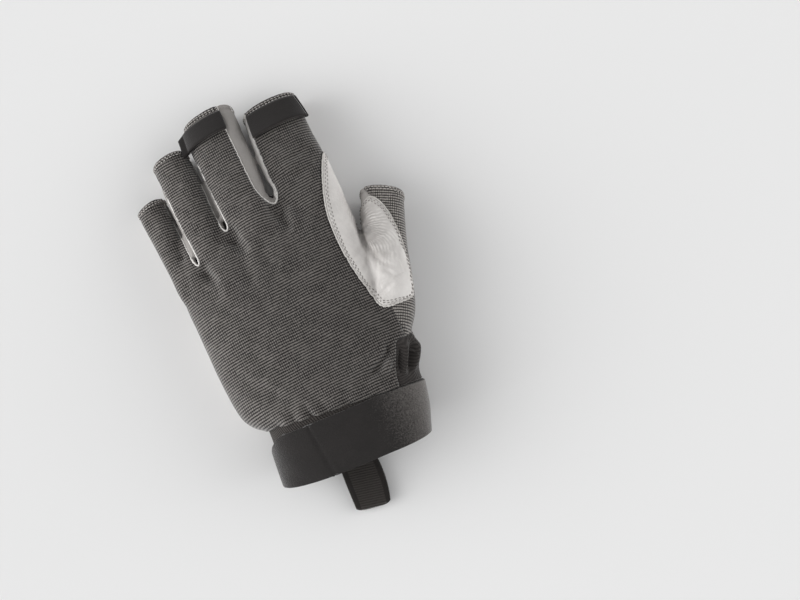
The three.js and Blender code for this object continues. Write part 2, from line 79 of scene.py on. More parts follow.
# Painted board, rolled on: matt off-white with a faint tooth, so the glove's soft shadow reads clean
painted_board, tree = new_material("painted board, matt off-white")
tooth = node(tree, "ShaderNodeTexNoise", Scale=400.0, Detail=3.0)
tooth = node(tree, "ShaderNodeBump", Height=tooth, Strength=0.02, Distance=0.0002)
board = node(tree, "ShaderNodeBsdfPrincipled", Normal=tooth, Base_Color="#e9e9e9", Roughness=0.95,
             Specular_IOR_Level=0.15)
node(tree, "ShaderNodeOutputMaterial", Surface=board)
HALF_TABLE = 3                      # metres
table_mesh = bpy.data.meshes.new("table")
table_mesh.from_pydata([(x * HALF_TABLE, y * HALF_TABLE, 0) for x, y in ((-1, -1), (1, -1), (1, 1), (-1, 1))],
                       [], [(0, 1, 2, 3)])
table_mesh.materials.append(painted_board)
table = bpy.data.objects.new("table", table_mesh)
bpy.context.scene.collection.objects.link(table)

TURN = math.radians(26.5)           # how far the fingers lean to the left in the view
CAMERA_HEIGHT = 1.22                # metres above the table
VIEW_WIDTH = 440                    # millimetres that the picture is wide at 1200 mm from the camera
ASIDE = 55                          # the glove lies this far to the left of the picture's middle
centre = np.array([ASIDE * math.cos(TURN), -ASIDE * math.sin(TURN), 0]) + PLAN_SHIFT
camera_data = bpy.data.cameras.new("camera")
camera_data.lens = 50
camera_data.sensor_width = camera_data.lens * VIEW_WIDTH / 1200
camera_data.clip_end = 20
camera = bpy.data.objects.new("camera", camera_data)
camera.location = (centre[0] / 1000, centre[1] / 1000, CAMERA_HEIGHT)
camera.rotation_euler = (0, 0, -TURN)
bpy.context.scene.collection.objects.link(camera)
bpy.context.scene.camera = camera

TENT_TOP, TENT_LOW = 0.40, 0.38     # brightness overhead, and how much more near the table
SIDE_PANELS = [                     # direction, narrowness, brightness
    ((-0.92, 0.28, 0.16), 7.0, 7.2),
    ((0.90, -0.20, 0.16), 8.0, 3.2)]
world = bpy.data.worlds.new("white tent with two side panels")
world.use_nodes = True
tree = world.node_tree
tree.nodes.clear()
way = node(tree, "ShaderNodeTexCoord").outputs["Generated"]
height = node(tree, "ShaderNodeSeparateXYZ", Vector=way).outputs["Z"]
low = node(tree, "ShaderNodeMath", operation="SUBTRACT", use_clamp=True, in0=1.0, in1=height)
low = node(tree, "ShaderNodeMath", operation="POWER", in0=low, in1=2.0)
glow = node(tree, "ShaderNodeMath", operation="MULTIPLY_ADD", in0=low, in1=TENT_LOW, in2=TENT_TOP)
for side, narrow, bright in SIDE_PANELS:
    facing = node(tree, "ShaderNodeVectorMath", operation="DOT_PRODUCT", in0=way,
                  in1=Vector(side).normalized())
    facing = node(tree, "ShaderNodeMath", operation="MAXIMUM", in0=facing.outputs["Value"], in1=0.0)
    facing = node(tree, "ShaderNodeMath", operation="POWER", in0=facing, in1=narrow)
    glow = node(tree, "ShaderNodeMath", operation="MULTIPLY_ADD", in0=facing, in1=bright, in2=glow)
sky = node(tree, "ShaderNodeBackground", Strength=glow, Color=(1, 1, 1, 1))
node(tree, "ShaderNodeOutputWorld", Surface=sky)
bpy.context.scene.world = world
bpy.context.scene.view_settings.view_transform = "Standard"

# THE SEWN HAND: ITS FORM
# Eight panels of weave, leather and elastic are sewn together inside out and turned. Filled by a hand they
# take one form, which is built here: a lofted palm and five finger tubes, grown together, cut open at the
# fingertips and at the wrist.

# y, left, peak, right, left side's z, right side's z, top, bottom, slant in plan
HAND_ROWS = np.array([
    (-67.0, -47.0, -3, 41.0, 17.0, 17.0, 38.2, 1.0, 0.060),
    (-62.5, -47.6, -3, 41.4, 16.5, 17.0, 38.5, 1.0, 0.060),
    (-59.8, -48.2, -3, 42.2, 16.0, 17.0, 38.7, 0.6, 0.060),
    (-58.0, -50.6, -3, 43.0, 15.8, 17.0, 38.8, 0.0, 0.058),
    (-56.0, -53.2, -3, 43.9, 15.6, 17.0, 38.8, -0.8, 0.055),
    (-52.5, -55.6, -3, 46.2, 15.2, 17.0, 38.6, -1.6, 0.045),
    (-48.5, -57.4, -3, 47.4, 14.8, 17.0, 38.4, -2.2, 0.030),
    (-43.0, -58.6, -3, 47.6, 14.4, 17.0, 38.2, -2.5, 0.010),
    (-34.0, -59.4, -2, 47.2, 14.0, 17.0, 37.8, -2.5, 0.000),
    (-20.0, -59.6, -1, 46.4, 14.0, 17.2, 37.4, -2.5, 0.000),
    (-5.0, -59.2, 0, 46.2, 14.0, 17.8, 37.0, -2.5, 0.000),
    (9.0, -58.6, 1, 46.2, 14.0, 18.2, 36.6, -1.8, 0.000),
    (21.0, -58.4, 2, 46.2, 14.2, 18.6, 36.1, -0.4, 0.000),
    (32.0, -57.3, 2, 46.4, 14.4, 18.8, 35.0, 1.8, 0.000),
    (41.0, -56.3, 2, 46.4, 14.3, 18.6, 32.6, 4.4, 0.000),
    (49.0, -55.0, 3, 45.6, 13.9, 18.2, 29.2, 7.0, 0.000),
    (60.0, -52.0, 3, 43.6, 13.9, 17.6, 23.4, 10.6, 0.000),
])
TOP_BEND, LOW_BEND, DIGIT_BEND = 0.82, 0.62, 0.86    # 1 is an ellipse, less is squarer

# x, y, z, half width, half height, pitch down, yaw (degrees); the first value is the roll
DIGITS = {
    "little": (20, [
        (-48.2, 14, 15.0, 7.4, 9.6, 2, 0), (-49.9, 30, 15.0, 8.0, 10.6, 4, 0),
        (-50.3, 43, 14.4, 7.6, 10.1, 6, 0), (-50.7, 56, 13.1, 7.7, 9.6, 10, 0),
        (-51.1, 68, 11.3, 8.0, 9.2, 14, -4), (-51.5, 76, 9.8, 8.1, 9.0, 16, -7),
        (-51.5, 82, 8.7, 8.2, 8.9, 18, -10)]),
    "ring": (12, [
        (-30.0, 20, 19.0, 10.2, 12.0, 2, 0), (-30.4, 38, 18.8, 10.4, 12.0, 4, 0),
        (-30.8, 52, 17.8, 10.6, 11.4, 7, 0), (-30.9, 66, 16.0, 11.0, 10.8, 11, 0),
        (-30.9, 80, 13.6, 11.0, 10.4, 15, 0), (-30.7, 92, 11.4, 10.4, 10.2, 18, -2),
        (-30.6, 100.5, 9.9, 9.7, 10.1, 20, -4)]),
    "middle": (14, [
        (-3.0, 24, 21.3, 14.0, 13.4, 2, 0), (-3.4, 40, 21.4, 13.9, 13.0, 4, 0),
        (-4.3, 54, 20.7, 14.4, 12.4, 6, 0), (-4.0, 68, 19.0, 14.8, 11.8, 10, 0),
        (-3.4, 82, 16.6, 15.2, 11.4, 14, 0), (-2.7, 96, 13.6, 15.3, 11.1, 18, 0),
        (-1.9, 105, 11.9, 15.0, 11.0, 20, 0), (-1.5, 112, 10.5, 14.6, 11.0, 21, 0)]),
    "index": (0, [
        (30.0, 20, 19.6, 14.0, 12.0, 2, 0), (31.0, 40, 19.4, 15.8, 12.4, 4, 0),
        (30.3, 54, 18.6, 17.0, 11.9, 7, 0), (30.2, 68, 16.8, 17.5, 11.5, 11, 0),
        (30.2, 80, 14.4, 17.0, 11.2, 15, 0), (30.9, 92, 11.9, 16.6, 11.0, 18, 0),
        (31.8, 103, 10.2, 15.7, 10.8, 20, 0)]),
    "thumb": (0, [
        (26.0, -46.0, 17.0, 12.5, 14.5, 5, 35), (41.0, -28.5, 17.4, 13.8, 15.2, 8, 32),
        (48.8, -12.0, 18.0, 13.2, 14.5, 12, 29), (54.3, 3.5, 17.0, 12.4, 13.4, 16, 27),
        (60.3, 18.0, 14.5, 12.0, 12.2, 20, 28), (66.4, 32.3, 10.9, 12.0, 11.0, 24, 30)]),
}


def signed_power(v, bend):
    return np.sign(v) * np.abs(v) ** bend


def through(rows, steps):
    """Rows of a table joined by a smooth curve through all of them, each stretch cut into steps."""
    rows = np.asarray(rows, float)
    padded = np.vstack([2 * rows[0] - rows[1], rows, 2 * rows[-1] - rows[-2]])
    out = []
    for i in range(1, len(padded) - 2):
        a, b, c, d = padded[i - 1:i + 3]
        for t in np.arange(steps) / steps:
            out.append(0.5 * (2 * b + (c - a) * t + (2 * a - 5 * b + 4 * c - d) * t ** 2
                              + (3 * b - a - 3 * c + d) * t ** 3))
    out.append(rows[-1])
    return np.array(out)


def hand_ring(row, count, inset=0.0):
    """A closed ring of points round the hand at a row, drawn in by the inset."""
    y0, left, peak, right, left_z, right_z, top, low, slant = row[:9]
    lean = row[9] if len(row) > 9 else 0.0
    turn = np.arange(count) / count * 2 * np.pi
    c, s = np.cos(turn), np.sin(turn)
    bend = np.where(s > 0, TOP_BEND, LOW_BEND)
    side_z = np.where(c > 0, right_z, left_z)
    x = peak + (np.where(c > 0, right - peak, peak - left) - inset) * signed_power(c, bend)
    up = np.where(s > 0, top - side_z, side_z - low) - inset
    z = side_z + up * signed_power(s, bend)
    y = y0 - slant * x - lean * (z - right_z)
    return np.stack([x, y, z], axis=1)


def digit_axes(pitch, yaw, roll):
    """A finger's own across, forward and up, as columns."""
    spin = (Matrix.Rotation(math.radians(-yaw), 3, "Z") @ Matrix.Rotation(math.radians(-pitch), 3, "X")
            @ Matrix.Rotation(math.radians(-roll), 3, "Y"))
    return np.array(spin)


def digit_ring(row, roll, count, push=0.0):
    """A closed ring of points round a finger at a row, pushed forward along it."""
    x, y, z, half_width, half_height, pitch, yaw = row
    spin = digit_axes(pitch, yaw, roll)
    turn = np.arange(count) / count * 2 * np.pi
    u = half_width * signed_power(np.cos(turn), DIGIT_BEND)
    v = half_height * signed_power(np.sin(turn), DIGIT_BEND)
    return (np.array([x, y, z]) + u[:, None] * spin[:, 0] + v[:, None] * spin[:, 2] + push * spin[:, 1])


def skin_of(rings):
    """Points and faces of a closed skin over rings."""
    count = len(rings[0])
    points = np.concatenate(rings)
    faces = []
    for i in range(len(rings) - 1):
        for k in range(count):
            a, b = i * count + k, i * count + (k + 1) % count
            faces.append((a, b, b + count, a + count))
    faces.append(tuple(range(count)))
    faces.append(tuple(range((len(rings) - 1) * count, len(rings) * count)))
    return points, faces


def object_of(name, points, faces):
    mesh = bpy.data.meshes.new(name)
    mesh.from_pydata([tuple(p) for p in points], [], faces)
    made = bpy.data.objects.new(name, mesh)
    bpy.context.scene.collection.objects.link(made)
    return made


def applied(target, kind, **settings):
    """Applies one modifier to an object."""
    modifier = target.modifiers.new(kind, kind)
    for key, value in settings.items():
        setattr(modifier, key, value)
    graph = bpy.context.evaluated_depsgraph_get()
    mesh = bpy.data.meshes.new_from_object(target.evaluated_get(graph))
    target.modifiers.clear()
    old = target.data
    target.data = mesh
    bpy.data.meshes.remove(old)


HAND_POINTS, FINGER_POINTS = 150, 72
HAND_STEPS, FINGER_STEPS = 5, 8     # rings between two rows of a table
SPARE = 6.0                         # fingers are made this much too long and then cut to length
form_points, form_faces = [], []
lofts = [skin_of([hand_ring(row, HAND_POINTS) for row in through(HAND_ROWS, HAND_STEPS)])]
for roll, rows in DIGITS.values():
    rings = [digit_ring(row, roll, FINGER_POINTS) for row in through(rows, FINGER_STEPS)]
    rings.append(digit_ring(rows[-1], roll, FINGER_POINTS, push=SPARE))
    lofts.append(skin_of(rings))
for points, faces in lofts:
    start = sum(len(p) for p in form_points)
    form_points.append(points)
    form_faces += [tuple(i + start for i in face) for face in faces]
hand_form = object_of("hand_form", np.concatenate(form_points), form_faces)
CELL = 0.8                          # size of the form's mesh
applied(hand_form, "REMESH", mode="VOXEL", voxel_size=CELL, adaptivity=0.0)
applied(hand_form, "SMOOTH", factor=0.5, iterations=5)

# The form is cut open at each fingertip and at the wrist
WRIST_CUT, WRIST_SLANT = -62.6, 0.130
bm = bmesh.new()
bm.from_mesh(hand_form.data)
bpy.data.objects.remove(hand_form)
for roll, rows in DIGITS.values():
    end = rows[-1]
    spin = digit_axes(end[5], end[6], roll)
    heart = np.array(end[:3])
    near = []
    for face in bm.faces:
        local = (np.array(face.calc_center_median()) - heart) @ spin
        if local[1] > -2.5 and abs(local[0]) < end[3] + 1.3 and abs(local[2]) < end[4] + 1.5:
            near.append(face)
    # each once and in the order of the faces, so that every run cuts in the same order
    around = [*near, *(e for face in near for e in face.edges), *(v for face in near for v in face.verts)]
    bmesh.ops.bisect_plane(bm, geom=list(dict.fromkeys(around)), dist=1e-4, plane_co=Vector(heart),
                           plane_no=Vector(spin[:, 1]), clear_outer=True)
wrist = Vector((WRIST_SLANT, 1, 0)).normalized()
bmesh.ops.bisect_plane(bm, geom=bm.verts[:] + bm.edges[:] + bm.faces[:], dist=1e-4,
                       plane_co=Vector((0, WRIST_CUT, 0)), plane_no=wrist, clear_inner=True)
bmesh.ops.triangulate(bm, faces=[f for f in bm.faces if len(f.verts) > 4])
bm.normal_update()
spots = np.array([v.co[:] for v in bm.verts])
ways = np.array([v.normal[:] for v in bm.verts])
bm.verts.index_update()
cells = [[v.index for v in f.verts] for f in bm.faces]
bm.free()

# THE SEWN HAND: ITS PATTERN
# The lines along which the panels are sewn, as seen in plan: the side seam, the patch, the slots between
# the fingers, the gusset and the thumb. Each cell of the form goes to the panel whose outline holds it.

# Side seam between back and palm: y, z on the little-finger side, z on the thumb side
SEAM = np.array([(-270, 15.0, 15.0), (-40, 14.0, 16.5), (-10, 13.5, 18.0), (10, 13.5, 18.0), (30, 14.0, 12.5),
                 (45, 14.0, 12.5), (60, 13.2, 16.5), (85, 9.5, 13.0), (112, 7.5, 9.5), (330, 5.0, 6.5)])


def seam_height(points):
    """Height of the side seam at each point's place in plan."""
    left = np.interp(points[:, 1], SEAM[:, 0], SEAM[:, 1])
    right = np.interp(points[:, 1], SEAM[:, 0], SEAM[:, 2])
    share = (np.clip(points[:, 0], -58, 75) + 58) / 106
    return left + (right - left) * share


# Plan outlines of the panels, over the seam and under it
PATCH_UP = [(49.5, 68.5), (43.8, 60), (38.8, 48), (34.9, 35), (33.4, 20), (33.8, 5), (35.8, -8),
            (38.8, -22.5), (47, -25), (55, -25.5), (57, -24), (59.5, -18), (62, -10), (63.8, 0),
            (64.8, 8), (65, 20), (63, 29.5), (60, 33.5), (55, 32), (50.5, 28.5), (47.2, 27), (48.6, 45),
            (60, 68)]
PATCH_DOWN = [(28.5, 61.5), (24, 50), (20, 35), (14, 10), (22, 4), (33, 0.5), (40, 7), (46.5, 13),
              (47.2, 27), (48.6, 45), (60, 68), (49.5, 68.5), (43, 62.5)]
SLOT_LITTLE = [(-43.9, 130), (-43.8, 84), (-43.6, 70), (-43.4, 60), (-43.2, 52), (-43.1, 46),
               (-42.6, 42.6), (-41.5, 41.2), (-40.3, 42), (-39.8, 45), (-40.1, 52), (-40.6, 60),
               (-40.8, 70), (-40.8, 80), (-40.9, 88), (-41, 130)]
SLOT_RING = [(-20.6, 130), (-20.4, 92), (-20.4, 80), (-20.6, 70), (-20.8, 60), (-20.8, 55), (-19.9, 52),
             (-18.7, 51.4), (-17.6, 53.2), (-17.3, 58), (-17.4, 66), (-17.6, 76), (-17.6, 88),
             (-17.9, 98), (-17.9, 130)]
SLOT_MIDDLE = [(7.2, 130), (6.6, 112), (5.6, 100), (5.4, 70), (6.4, 62), (8.4, 57), (11.2, 53.6),
               (13.9, 55.4), (15.2, 59.5), (15.0, 68), (15.7, 80), (16.5, 91), (17.8, 103), (18.6, 130)]
GUSSET_UP = [(37.5, -43.5), (62, -43.0), (62, -72), (27.5, -72), (29.5, -60)]
THUMB_UP = [(43.7, -12), (58, -12), (58, 29), (60, 33.5), (57.5, 42), (95, 60), (95, -80), (43.7, -80)]
THUMB_DOWN = [(76, 30), (72.5, 22), (61, 3), (54, -14), (45, -31), (30, -47), (10, -59.5), (8, -80),
              (95, -80), (95, 40)]
BACK_UP = [(-120, -140), (46, -140), (46, -24), (49, 30), (49.5, 68.5), (140, 100), (140, 170),
           (-120, 170)]
STRIP_DEEP = 5.5                    # how far the finger side strips reach below the seam


def rounded(outline):
    """A smooth closed curve through the corners of a plan outline."""
    steps = 5
    ring = np.array(list(outline[-2:]) + list(outline) + list(outline[:2]), float)
    return through(ring, steps)[2 * steps:-2 * steps - 1]


def plan_distance(points, outline):
    """Distance in plan to an outline, above 0 inside it, and the nearest point on it."""
    far = np.full(len(points), -99.0)
    nearest = points[:, :2].copy()
    inside = np.zeros(len(points), bool)
    low, high = outline.min(0) - 4, outline.max(0) + 4
    some = np.all((points[:, :2] > low) & (points[:, :2] < high), axis=1)
    p = points[some, :2]
    best, spot, odd = np.full(len(p), 99.0), p.copy(), np.zeros(len(p), bool)
    for a, b in zip(outline, np.roll(outline, -1, axis=0)):
        edge = b - a
        t = np.clip(((p - a) @ edge) / max(edge @ edge, 1e-9), 0, 1)
        foot = a + t[:, None] * edge
        d = np.linalg.norm(p - foot, axis=1)
        closer = d < best
        best[closer], spot[closer] = d[closer], foot[closer]
        crosses = (a[1] > p[:, 1]) != (b[1] > p[:, 1])
        with np.errstate(divide="ignore", invalid="ignore"):
            at = a[0] + (p[:, 1] - a[1]) * edge[0] / edge[1]
        odd ^= crosses & (p[:, 0] < at)
    far[some] = np.where(odd, best, -best)
    nearest[some] = spot
    return far, nearest


# name: (outline above the seam, outline below it, how far the upper one reaches below the seam)
PANELS = {
    "thumb_web_patch": (rounded(PATCH_UP), rounded(PATCH_DOWN), 0),
    "fourchette_little_ring": (rounded(SLOT_LITTLE), None, STRIP_DEEP),
    "fourchette_ring_middle": (rounded(SLOT_RING), None, STRIP_DEEP),
    "fourchette_middle_index": (rounded(SLOT_MIDDLE), None, STRIP_DEEP),
    "wrist_gusset": (np.array(GUSSET_UP, float), None, 0),
    "thumb_back": (np.array(THUMB_UP, float), np.array(THUMB_DOWN, float), 0),
    "back_panel": (np.array(BACK_UP, float), None, 0),
}
SNAP = 0.62 * CELL                  # a point this close to a seam line is moved onto it
for up, down, deep in PANELS.values():
    for outline, upper in ((up, True), (down, False)):
        if outline is None:
            continue
        height = spots[:, 2] - seam_height(spots) + (deep if upper else 0)
        d, foot = plan_distance(spots, outline)
        take = (np.abs(d) < SNAP) & ((height > -0.3) if upper else (height < 0.3))
        spots[take, :2] = foot[take]
    if deep:
        d, foot = plan_distance(spots, up)
        height = spots[:, 2] - seam_height(spots) + deep
        take = (d > -0.3) & (np.abs(height) < SNAP)
        spots[take, 2] -= height[take]
height = spots[:, 2] - seam_height(spots)
take = (np.abs(height) < SNAP) & (np.abs(ways[:, 2]) < 0.75)
spots[take, 2] -= height[take]

middles = np.array([spots[cell].mean(axis=0) for cell in cells])
height = middles[:, 2] - seam_height(middles)
names = list(PANELS) + ["palm_panel"]
label = np.full(len(cells), names.index("palm_panel"))
free = np.ones(len(cells), bool)
for number, (up, down, deep) in enumerate(PANELS.values()):
    mine = (plan_distance(middles, up)[0] > 0) & (height > -deep)
    if down is not None:
        mine |= (plan_distance(middles, down)[0] > 0) & (height < 0)
    label[mine & free] = number
    free &= ~mine

# Crumbs of a panel go to the panel round them
edges_of = {}
for i, cell in enumerate(cells):
    for a, b in zip(cell, cell[1:] + cell[:1]):
        edges_of.setdefault((min(a, b), max(a, b)), []).append(i)
beside = [[] for _ in cells]
for pair in edges_of.values():
    if len(pair) == 2:
        beside[pair[0]].append(pair[1])
        beside[pair[1]].append(pair[0])
seen = np.zeros(len(cells), bool)
patches = []
for first in range(len(cells)):
    if seen[first]:
        continue
    seen[first] = True
    patch, queue = [first], [first]
    while queue:
        for other in beside[queue.pop()]:
            if not seen[other] and label[other] == label[first]:
                seen[other] = True
                patch.append(other)
                queue.append(other)
    patches.append(patch)
largest = {}
for patch in patches:
    name = label[patch[0]]
    if len(patch) > len(largest.get(name, [])):
        largest[name] = patch
for patch in patches:
    if patch is not largest[label[patch[0]]]:
        round_it = [label[j] for i in patch for j in beside[i] if label[j] != label[i]]
        if round_it:
            label[patch] = max(set(round_it), key=round_it.count)


def chains(edges):
    """Ordered runs of points out of loose edges; a closed run ends on its first point."""
    at = {}
    for a, b in edges:
        at.setdefault(a, []).append(b)
        at.setdefault(b, []).append(a)
    left = {frozenset(e) for e in edges}
    runs = []
    for start in sorted(at, key=lambda v: (len(at[v]) == 2, v)):
        for step in at[start]:
            if frozenset((start, step)) not in left:
                continue
            run = [start]
            here, after = start, step
            while after is not None:
                left.discard(frozenset((here, after)))
                run.append(after)
                here = after
                more = [n for n in at[here] if frozenset((here, n)) in left]
                after = more[0] if more else None
            runs.append(run)
    return runs


def eased(line, times):
    """A run of points smoothed a number of times, its ends kept."""
    line = np.array(line, float)
    closed = np.linalg.norm(line[0] - line[-1]) < 1e-6
    for _ in range(times):
        if closed:
            ring = line[:-1]
            ring = (np.roll(ring, 1, 0) + 2 * ring + np.roll(ring, -1, 0)) / 4
            line = np.vstack([ring, ring[:1]])
        else:
            line[1:-1] = (line[:-2] + 2 * line[1:-1] + line[2:]) / 4
    return line


# Seam lines run smooth: their points are eased along each line and stay on the form
pairs = {}
for edge, pair in edges_of.items():
    if len(pair) == 2 and label[pair[0]] != label[pair[1]]:
        pairs.setdefault(frozenset((label[pair[0]], label[pair[1]])), []).append(edge)
raw_tree = BVHTree.FromPolygons([tuple(p) for p in spots], [tuple(c) for c in cells])
for edges in pairs.values():
    for run in chains(edges):
        if len(run) > 6:
            line = eased(spots[run], 8)
            for v, p in list(zip(run, line))[1:-1]:
                spots[v] = np.array(raw_tree.find_nearest(Vector(p))[0][:])


def tree_of(points):
    tree = KDTree(len(points))
    for i, p in enumerate(points):
        tree.insert(p, i)
    tree.balance()
    return tree


# Distances from every point to the nearest seam and to the nearest open edge
seam_edges, open_edges = [], []
for edge, pair in edges_of.items():
    if len(pair) == 1:
        open_edges.append(edge)
    elif label[pair[0]] != label[pair[1]]:
        seam_edges.append((edge, label[pair[0]], label[pair[1]]))
on_seam = sorted({v for edge, a, b in seam_edges for v in edge})
on_rim = sorted({v for edge in open_edges for v in edge})
seam_tree, rim_tree = tree_of(spots[on_seam]), tree_of(spots[on_rim])
seam_far = np.array([seam_tree.find(p)[2] for p in spots])
rim_far = np.array([rim_tree.find(p)[2] for p in spots])
member = np.zeros((len(names), len(spots)), bool)
for cell, number in zip(cells, label):
    member[number, cell] = True


def within(name):
    """Which points a panel holds."""
    return member[names.index(name)]


# THE SEWN HAND: ITS FOLDS
# Cloth and leather that are pulled at their seams: dents below the slots, ridges beside them, gathers at the
# wrist, creases of the finger joints and of the palm, and hems turned in at the openings. All are moves of
# the form along its own surface normals.

def bell(t):
    """1 at 0, falling softly to 0 on both sides."""
    return np.exp(-t * t)


def line_distance(points, line):
    """Distance in plan to a polyline, and the share of its length where the nearest point lies."""
    line = np.array(line, float)
    steps = np.linalg.norm(np.diff(line, axis=0), axis=1)
    before = np.concatenate([[0], np.cumsum(steps)])
    best, share = np.full(len(points), 99.0), np.zeros(len(points))
    for a, b, start, step in zip(line, line[1:], before, steps):
        t = np.clip(((points[:, :2] - a) @ (b - a)) / (step * step), 0, 1)
        d = np.linalg.norm(points[:, :2] - a - t[:, None] * (b - a), axis=1)
        closer = d < best
        best[closer], share[closer] = d[closer], (start + t[closer] * step) / before[-1]
    return best, share


# Soft dents of the back: x, y where deepest, depth, reach across, towards the fingers, towards the wrist
DENTS = np.array([
    (-40.5, 37, 2.8, 5, 7, 17),
    (-18.5, 45, 2.7, 5, 8, 26),
    (11.0, 48, 2.0, 5, 8, 24),
    (39.0, 4, 1.4, 5, 26, 22),
    (22.0, -56, 1.6, 4, 6, 5),
    (32.5, -53, 2.2, 3, 7, 6),
])

# Folds: half width, depth (below 0 is a ridge), plan points. First those seen from the back ...
FOLDS_UP = [
    (2.0, -1.3, [(15, -59), (25, -56), (34, -50), (38, -45)]),
    (1.8, 1.6, [(12, -55), (22, -52), (31, -47), (37, -40)]),
    (1.7, 1.1, [(24, -59), (29, -56), (33, -52), (37, -48)]),
    (1.3, 2.4, [(45.5, -47), (41, -55), (35, -63)]), (1.0, 1.4, [(38.5, -45), (36, -52), (31, -62)]),
    (1.7, -1.5, [(41.5, -45), (38.5, -53), (33, -63)]), (1.9, -1.4, [(48, -47), (45, -54), (39, -62)]),
    # the cloth is drawn in below each slot, and stands up beside it
    (2.4, 2.1, [(-19.5, 48), (-17, 44), (-12, 36)]), (3.0, -0.8, [(-14.5, 47), (-11.5, 42), (-6, 34)]),
    (2.2, 1.7, [(-41, 38), (-39, 34), (-34.5, 27)]), (3.0, -0.5, [(-37.2, 42), (-34, 35), (-28, 26)]),
    (2.4, 1.2, [(11.5, 50), (12, 44), (14, 36)]), (2.4, -0.8, [(16.5, 49), (17, 43), (19, 36)]),
    (2.6, 0.9, [(-13, 36), (-4, 28), (8, 24)]), (2.4, 0.7, [(-35, 28), (-26, 22), (-14, 20)]),
    (3.0, 0.7, [(44, -24), (34, -34), (20, -41), (4, -44)]),
    (3.5, 0.6, [(40, -6), (32, -20), (20, -30)]),
    (2.5, 0.5, [(43, -30), (36, -40), (24, -47)]),
    (4.0, 0.7, [(-50, -20), (-38, -36), (-30, -50)]),
    (3.0, 0.5, [(-56, 8), (-48, 0), (-36, -4)]),
    (3.0, 0.5, [(-4, 40), (-6, 26), (-2, 12)]),
    (2.5, 0.4, [(22, 44), (18, 30), (20, 14)]),
    (1.2, 0.5, [(-55, 50), (-50, 48.5), (-45, 49)]), (1.2, 0.4, [(-55, 56), (-50, 54), (-46, 54.5)]),
    (1.4, 0.5, [(-37, 60), (-30, 57), (-23, 58)]), (1.2, 0.35, [(-37, 68), (-31, 66), (-24, 67)]),
    (1.6, 0.6, [(-15, 68), (-5, 64), (4, 66)]), (1.3, 0.4, [(-14, 77), (-5, 74), (4, 75)]),
    (1.6, 0.6, [(18, 66), (28, 62), (38, 62)]), (1.3, 0.4, [(20, 74), (31, 71), (42, 74)]),
    # the web patch: a fold from the crotch down to its point, small creases fanning out of it
    (1.5, 1.6, [(46.5, 26), (46.2, 18), (45.5, 12), (47.5, 4), (50, -4)]),
    (1.0, 0.5, [(45.5, 13), (50, 15.5), (56, 17), (62, 17.5)]),
    (0.9, 0.7, [(46, 12), (51, 12), (57, 12), (62.5, 11)]),
    (0.9, 0.6, [(46.5, 10.5), (52, 9), (58, 7), (62, 5)]),
    (0.8, 0.5, [(46, 15), (50, 19), (55, 22), (60, 24)]),
    (0.8, 0.5, [(46.2, 18), (50, 23), (54, 26.5)]),
    (0.8, 0.5, [(47, 6), (52, 3), (58, -2), (60, -7)]),
    (0.9, 0.5, [(48, 1), (52, -4), (57, -10)]),
    (1.0, 0.5, [(49, -5), (52, -11), (56, -16)]),
    (1.2, 0.6, [(36, 30), (40, 27), (45.5, 26)]), (1.0, 0.5, [(36, 20), (40, 19), (45, 18)]),
    (1.0, 0.5, [(35, 8), (39, 9), (44, 11)]), (1.1, 0.5, [(36, -2), (41, 1), (46, 7)]),
    (1.2, 0.5, [(38, -12), (43, -8), (48, 1)]), (1.0, 0.4, [(40, -18), (46, -15), (52, -14)]),
]
# ... then those of the palm: finger creases, the thumb's web, the lines of the hand
FOLDS_DOWN = [
    (1.5, 1.2, [(-57, 31), (-46, 33), (-36, 38)]), (1.5, 1.2, [(-34, 40), (-22, 43), (-11, 46)]),
    (1.5, 1.0, [(-6, 47), (6, 47), (14, 46)]), (1.5, 1.0, [(16, 45), (25, 47)]),
    (2.2, 1.1, [(-54, 6), (-36, 10), (-14, 22), (8, 36)]),
    (2.4, 1.2, [(-46, -6), (-22, 2), (2, 14), (16, 26)]),
    (1.8, 1.0, [(22, 6), (14, -4), (6, -20), (4, -40)]),
    (1.5, 1.2, [(38, -2), (30, -8), (22, -18), (18, -32)]),
    (1.4, 1.0, [(40, -6), (34, -12), (27, -22), (24, -34)]),
    (1.3, 0.9, [(43, -9), (38, -16), (32, -26), (29, -36)]),
    (1.3, 0.8, [(35, 2), (26, -4), (17, -13), (12, -28)]),
    (1.3, 0.8, [(47, -9), (43, -18), (37, -28)]),
    (1.6, 0.7, [(-52, -20), (-38, -30), (-30, -44)]), (1.6, 0.6, [(-30, -20), (-22, -34), (-20, -48)]),
    (1.0, 0.7, [(-56, 50), (-50, 51), (-44, 50)]), (1.0, 0.6, [(-56, 60), (-50, 61.5), (-44, 60)]),
    (0.9, 0.5, [(-56, 40), (-50, 41), (-43, 41)]), (0.9, 0.5, [(-57, 68), (-51, 69), (-45, 67)]),
    (1.0, 0.7, [(-37, 56), (-30, 57), (-23, 55)]), (1.0, 0.6, [(-38, 66), (-30, 68), (-22, 66)]),
    (0.9, 0.5, [(-38, 76), (-30, 78), (-22, 76)]), (0.9, 0.5, [(-37, 84), (-30, 85), (-23, 83)]),
    (1.0, 0.8, [(-14, 58), (-4, 60), (6, 58)]), (1.0, 0.7, [(-14, 68), (-3, 71), (8, 69)]),
    (0.9, 0.5, [(-14, 80), (-3, 82), (8, 80)]), (0.9, 0.5, [(-13, 91), (-2, 93), (9, 91)]),
    (1.0, 0.7, [(17, 64), (24, 66)]), (1.0, 0.6, [(18, 74), (30, 77), (45, 73)]),
    (0.9, 0.5, [(18, 84), (31, 86), (45, 84)]), (1.0, 0.6, [(26, 44), (34, 46), (44, 42)]),
    (1.0, 0.6, [(22, 28), (32, 30), (42, 26)]), (0.9, 0.5, [(20, 16), (30, 17), (40, 14)]),
]

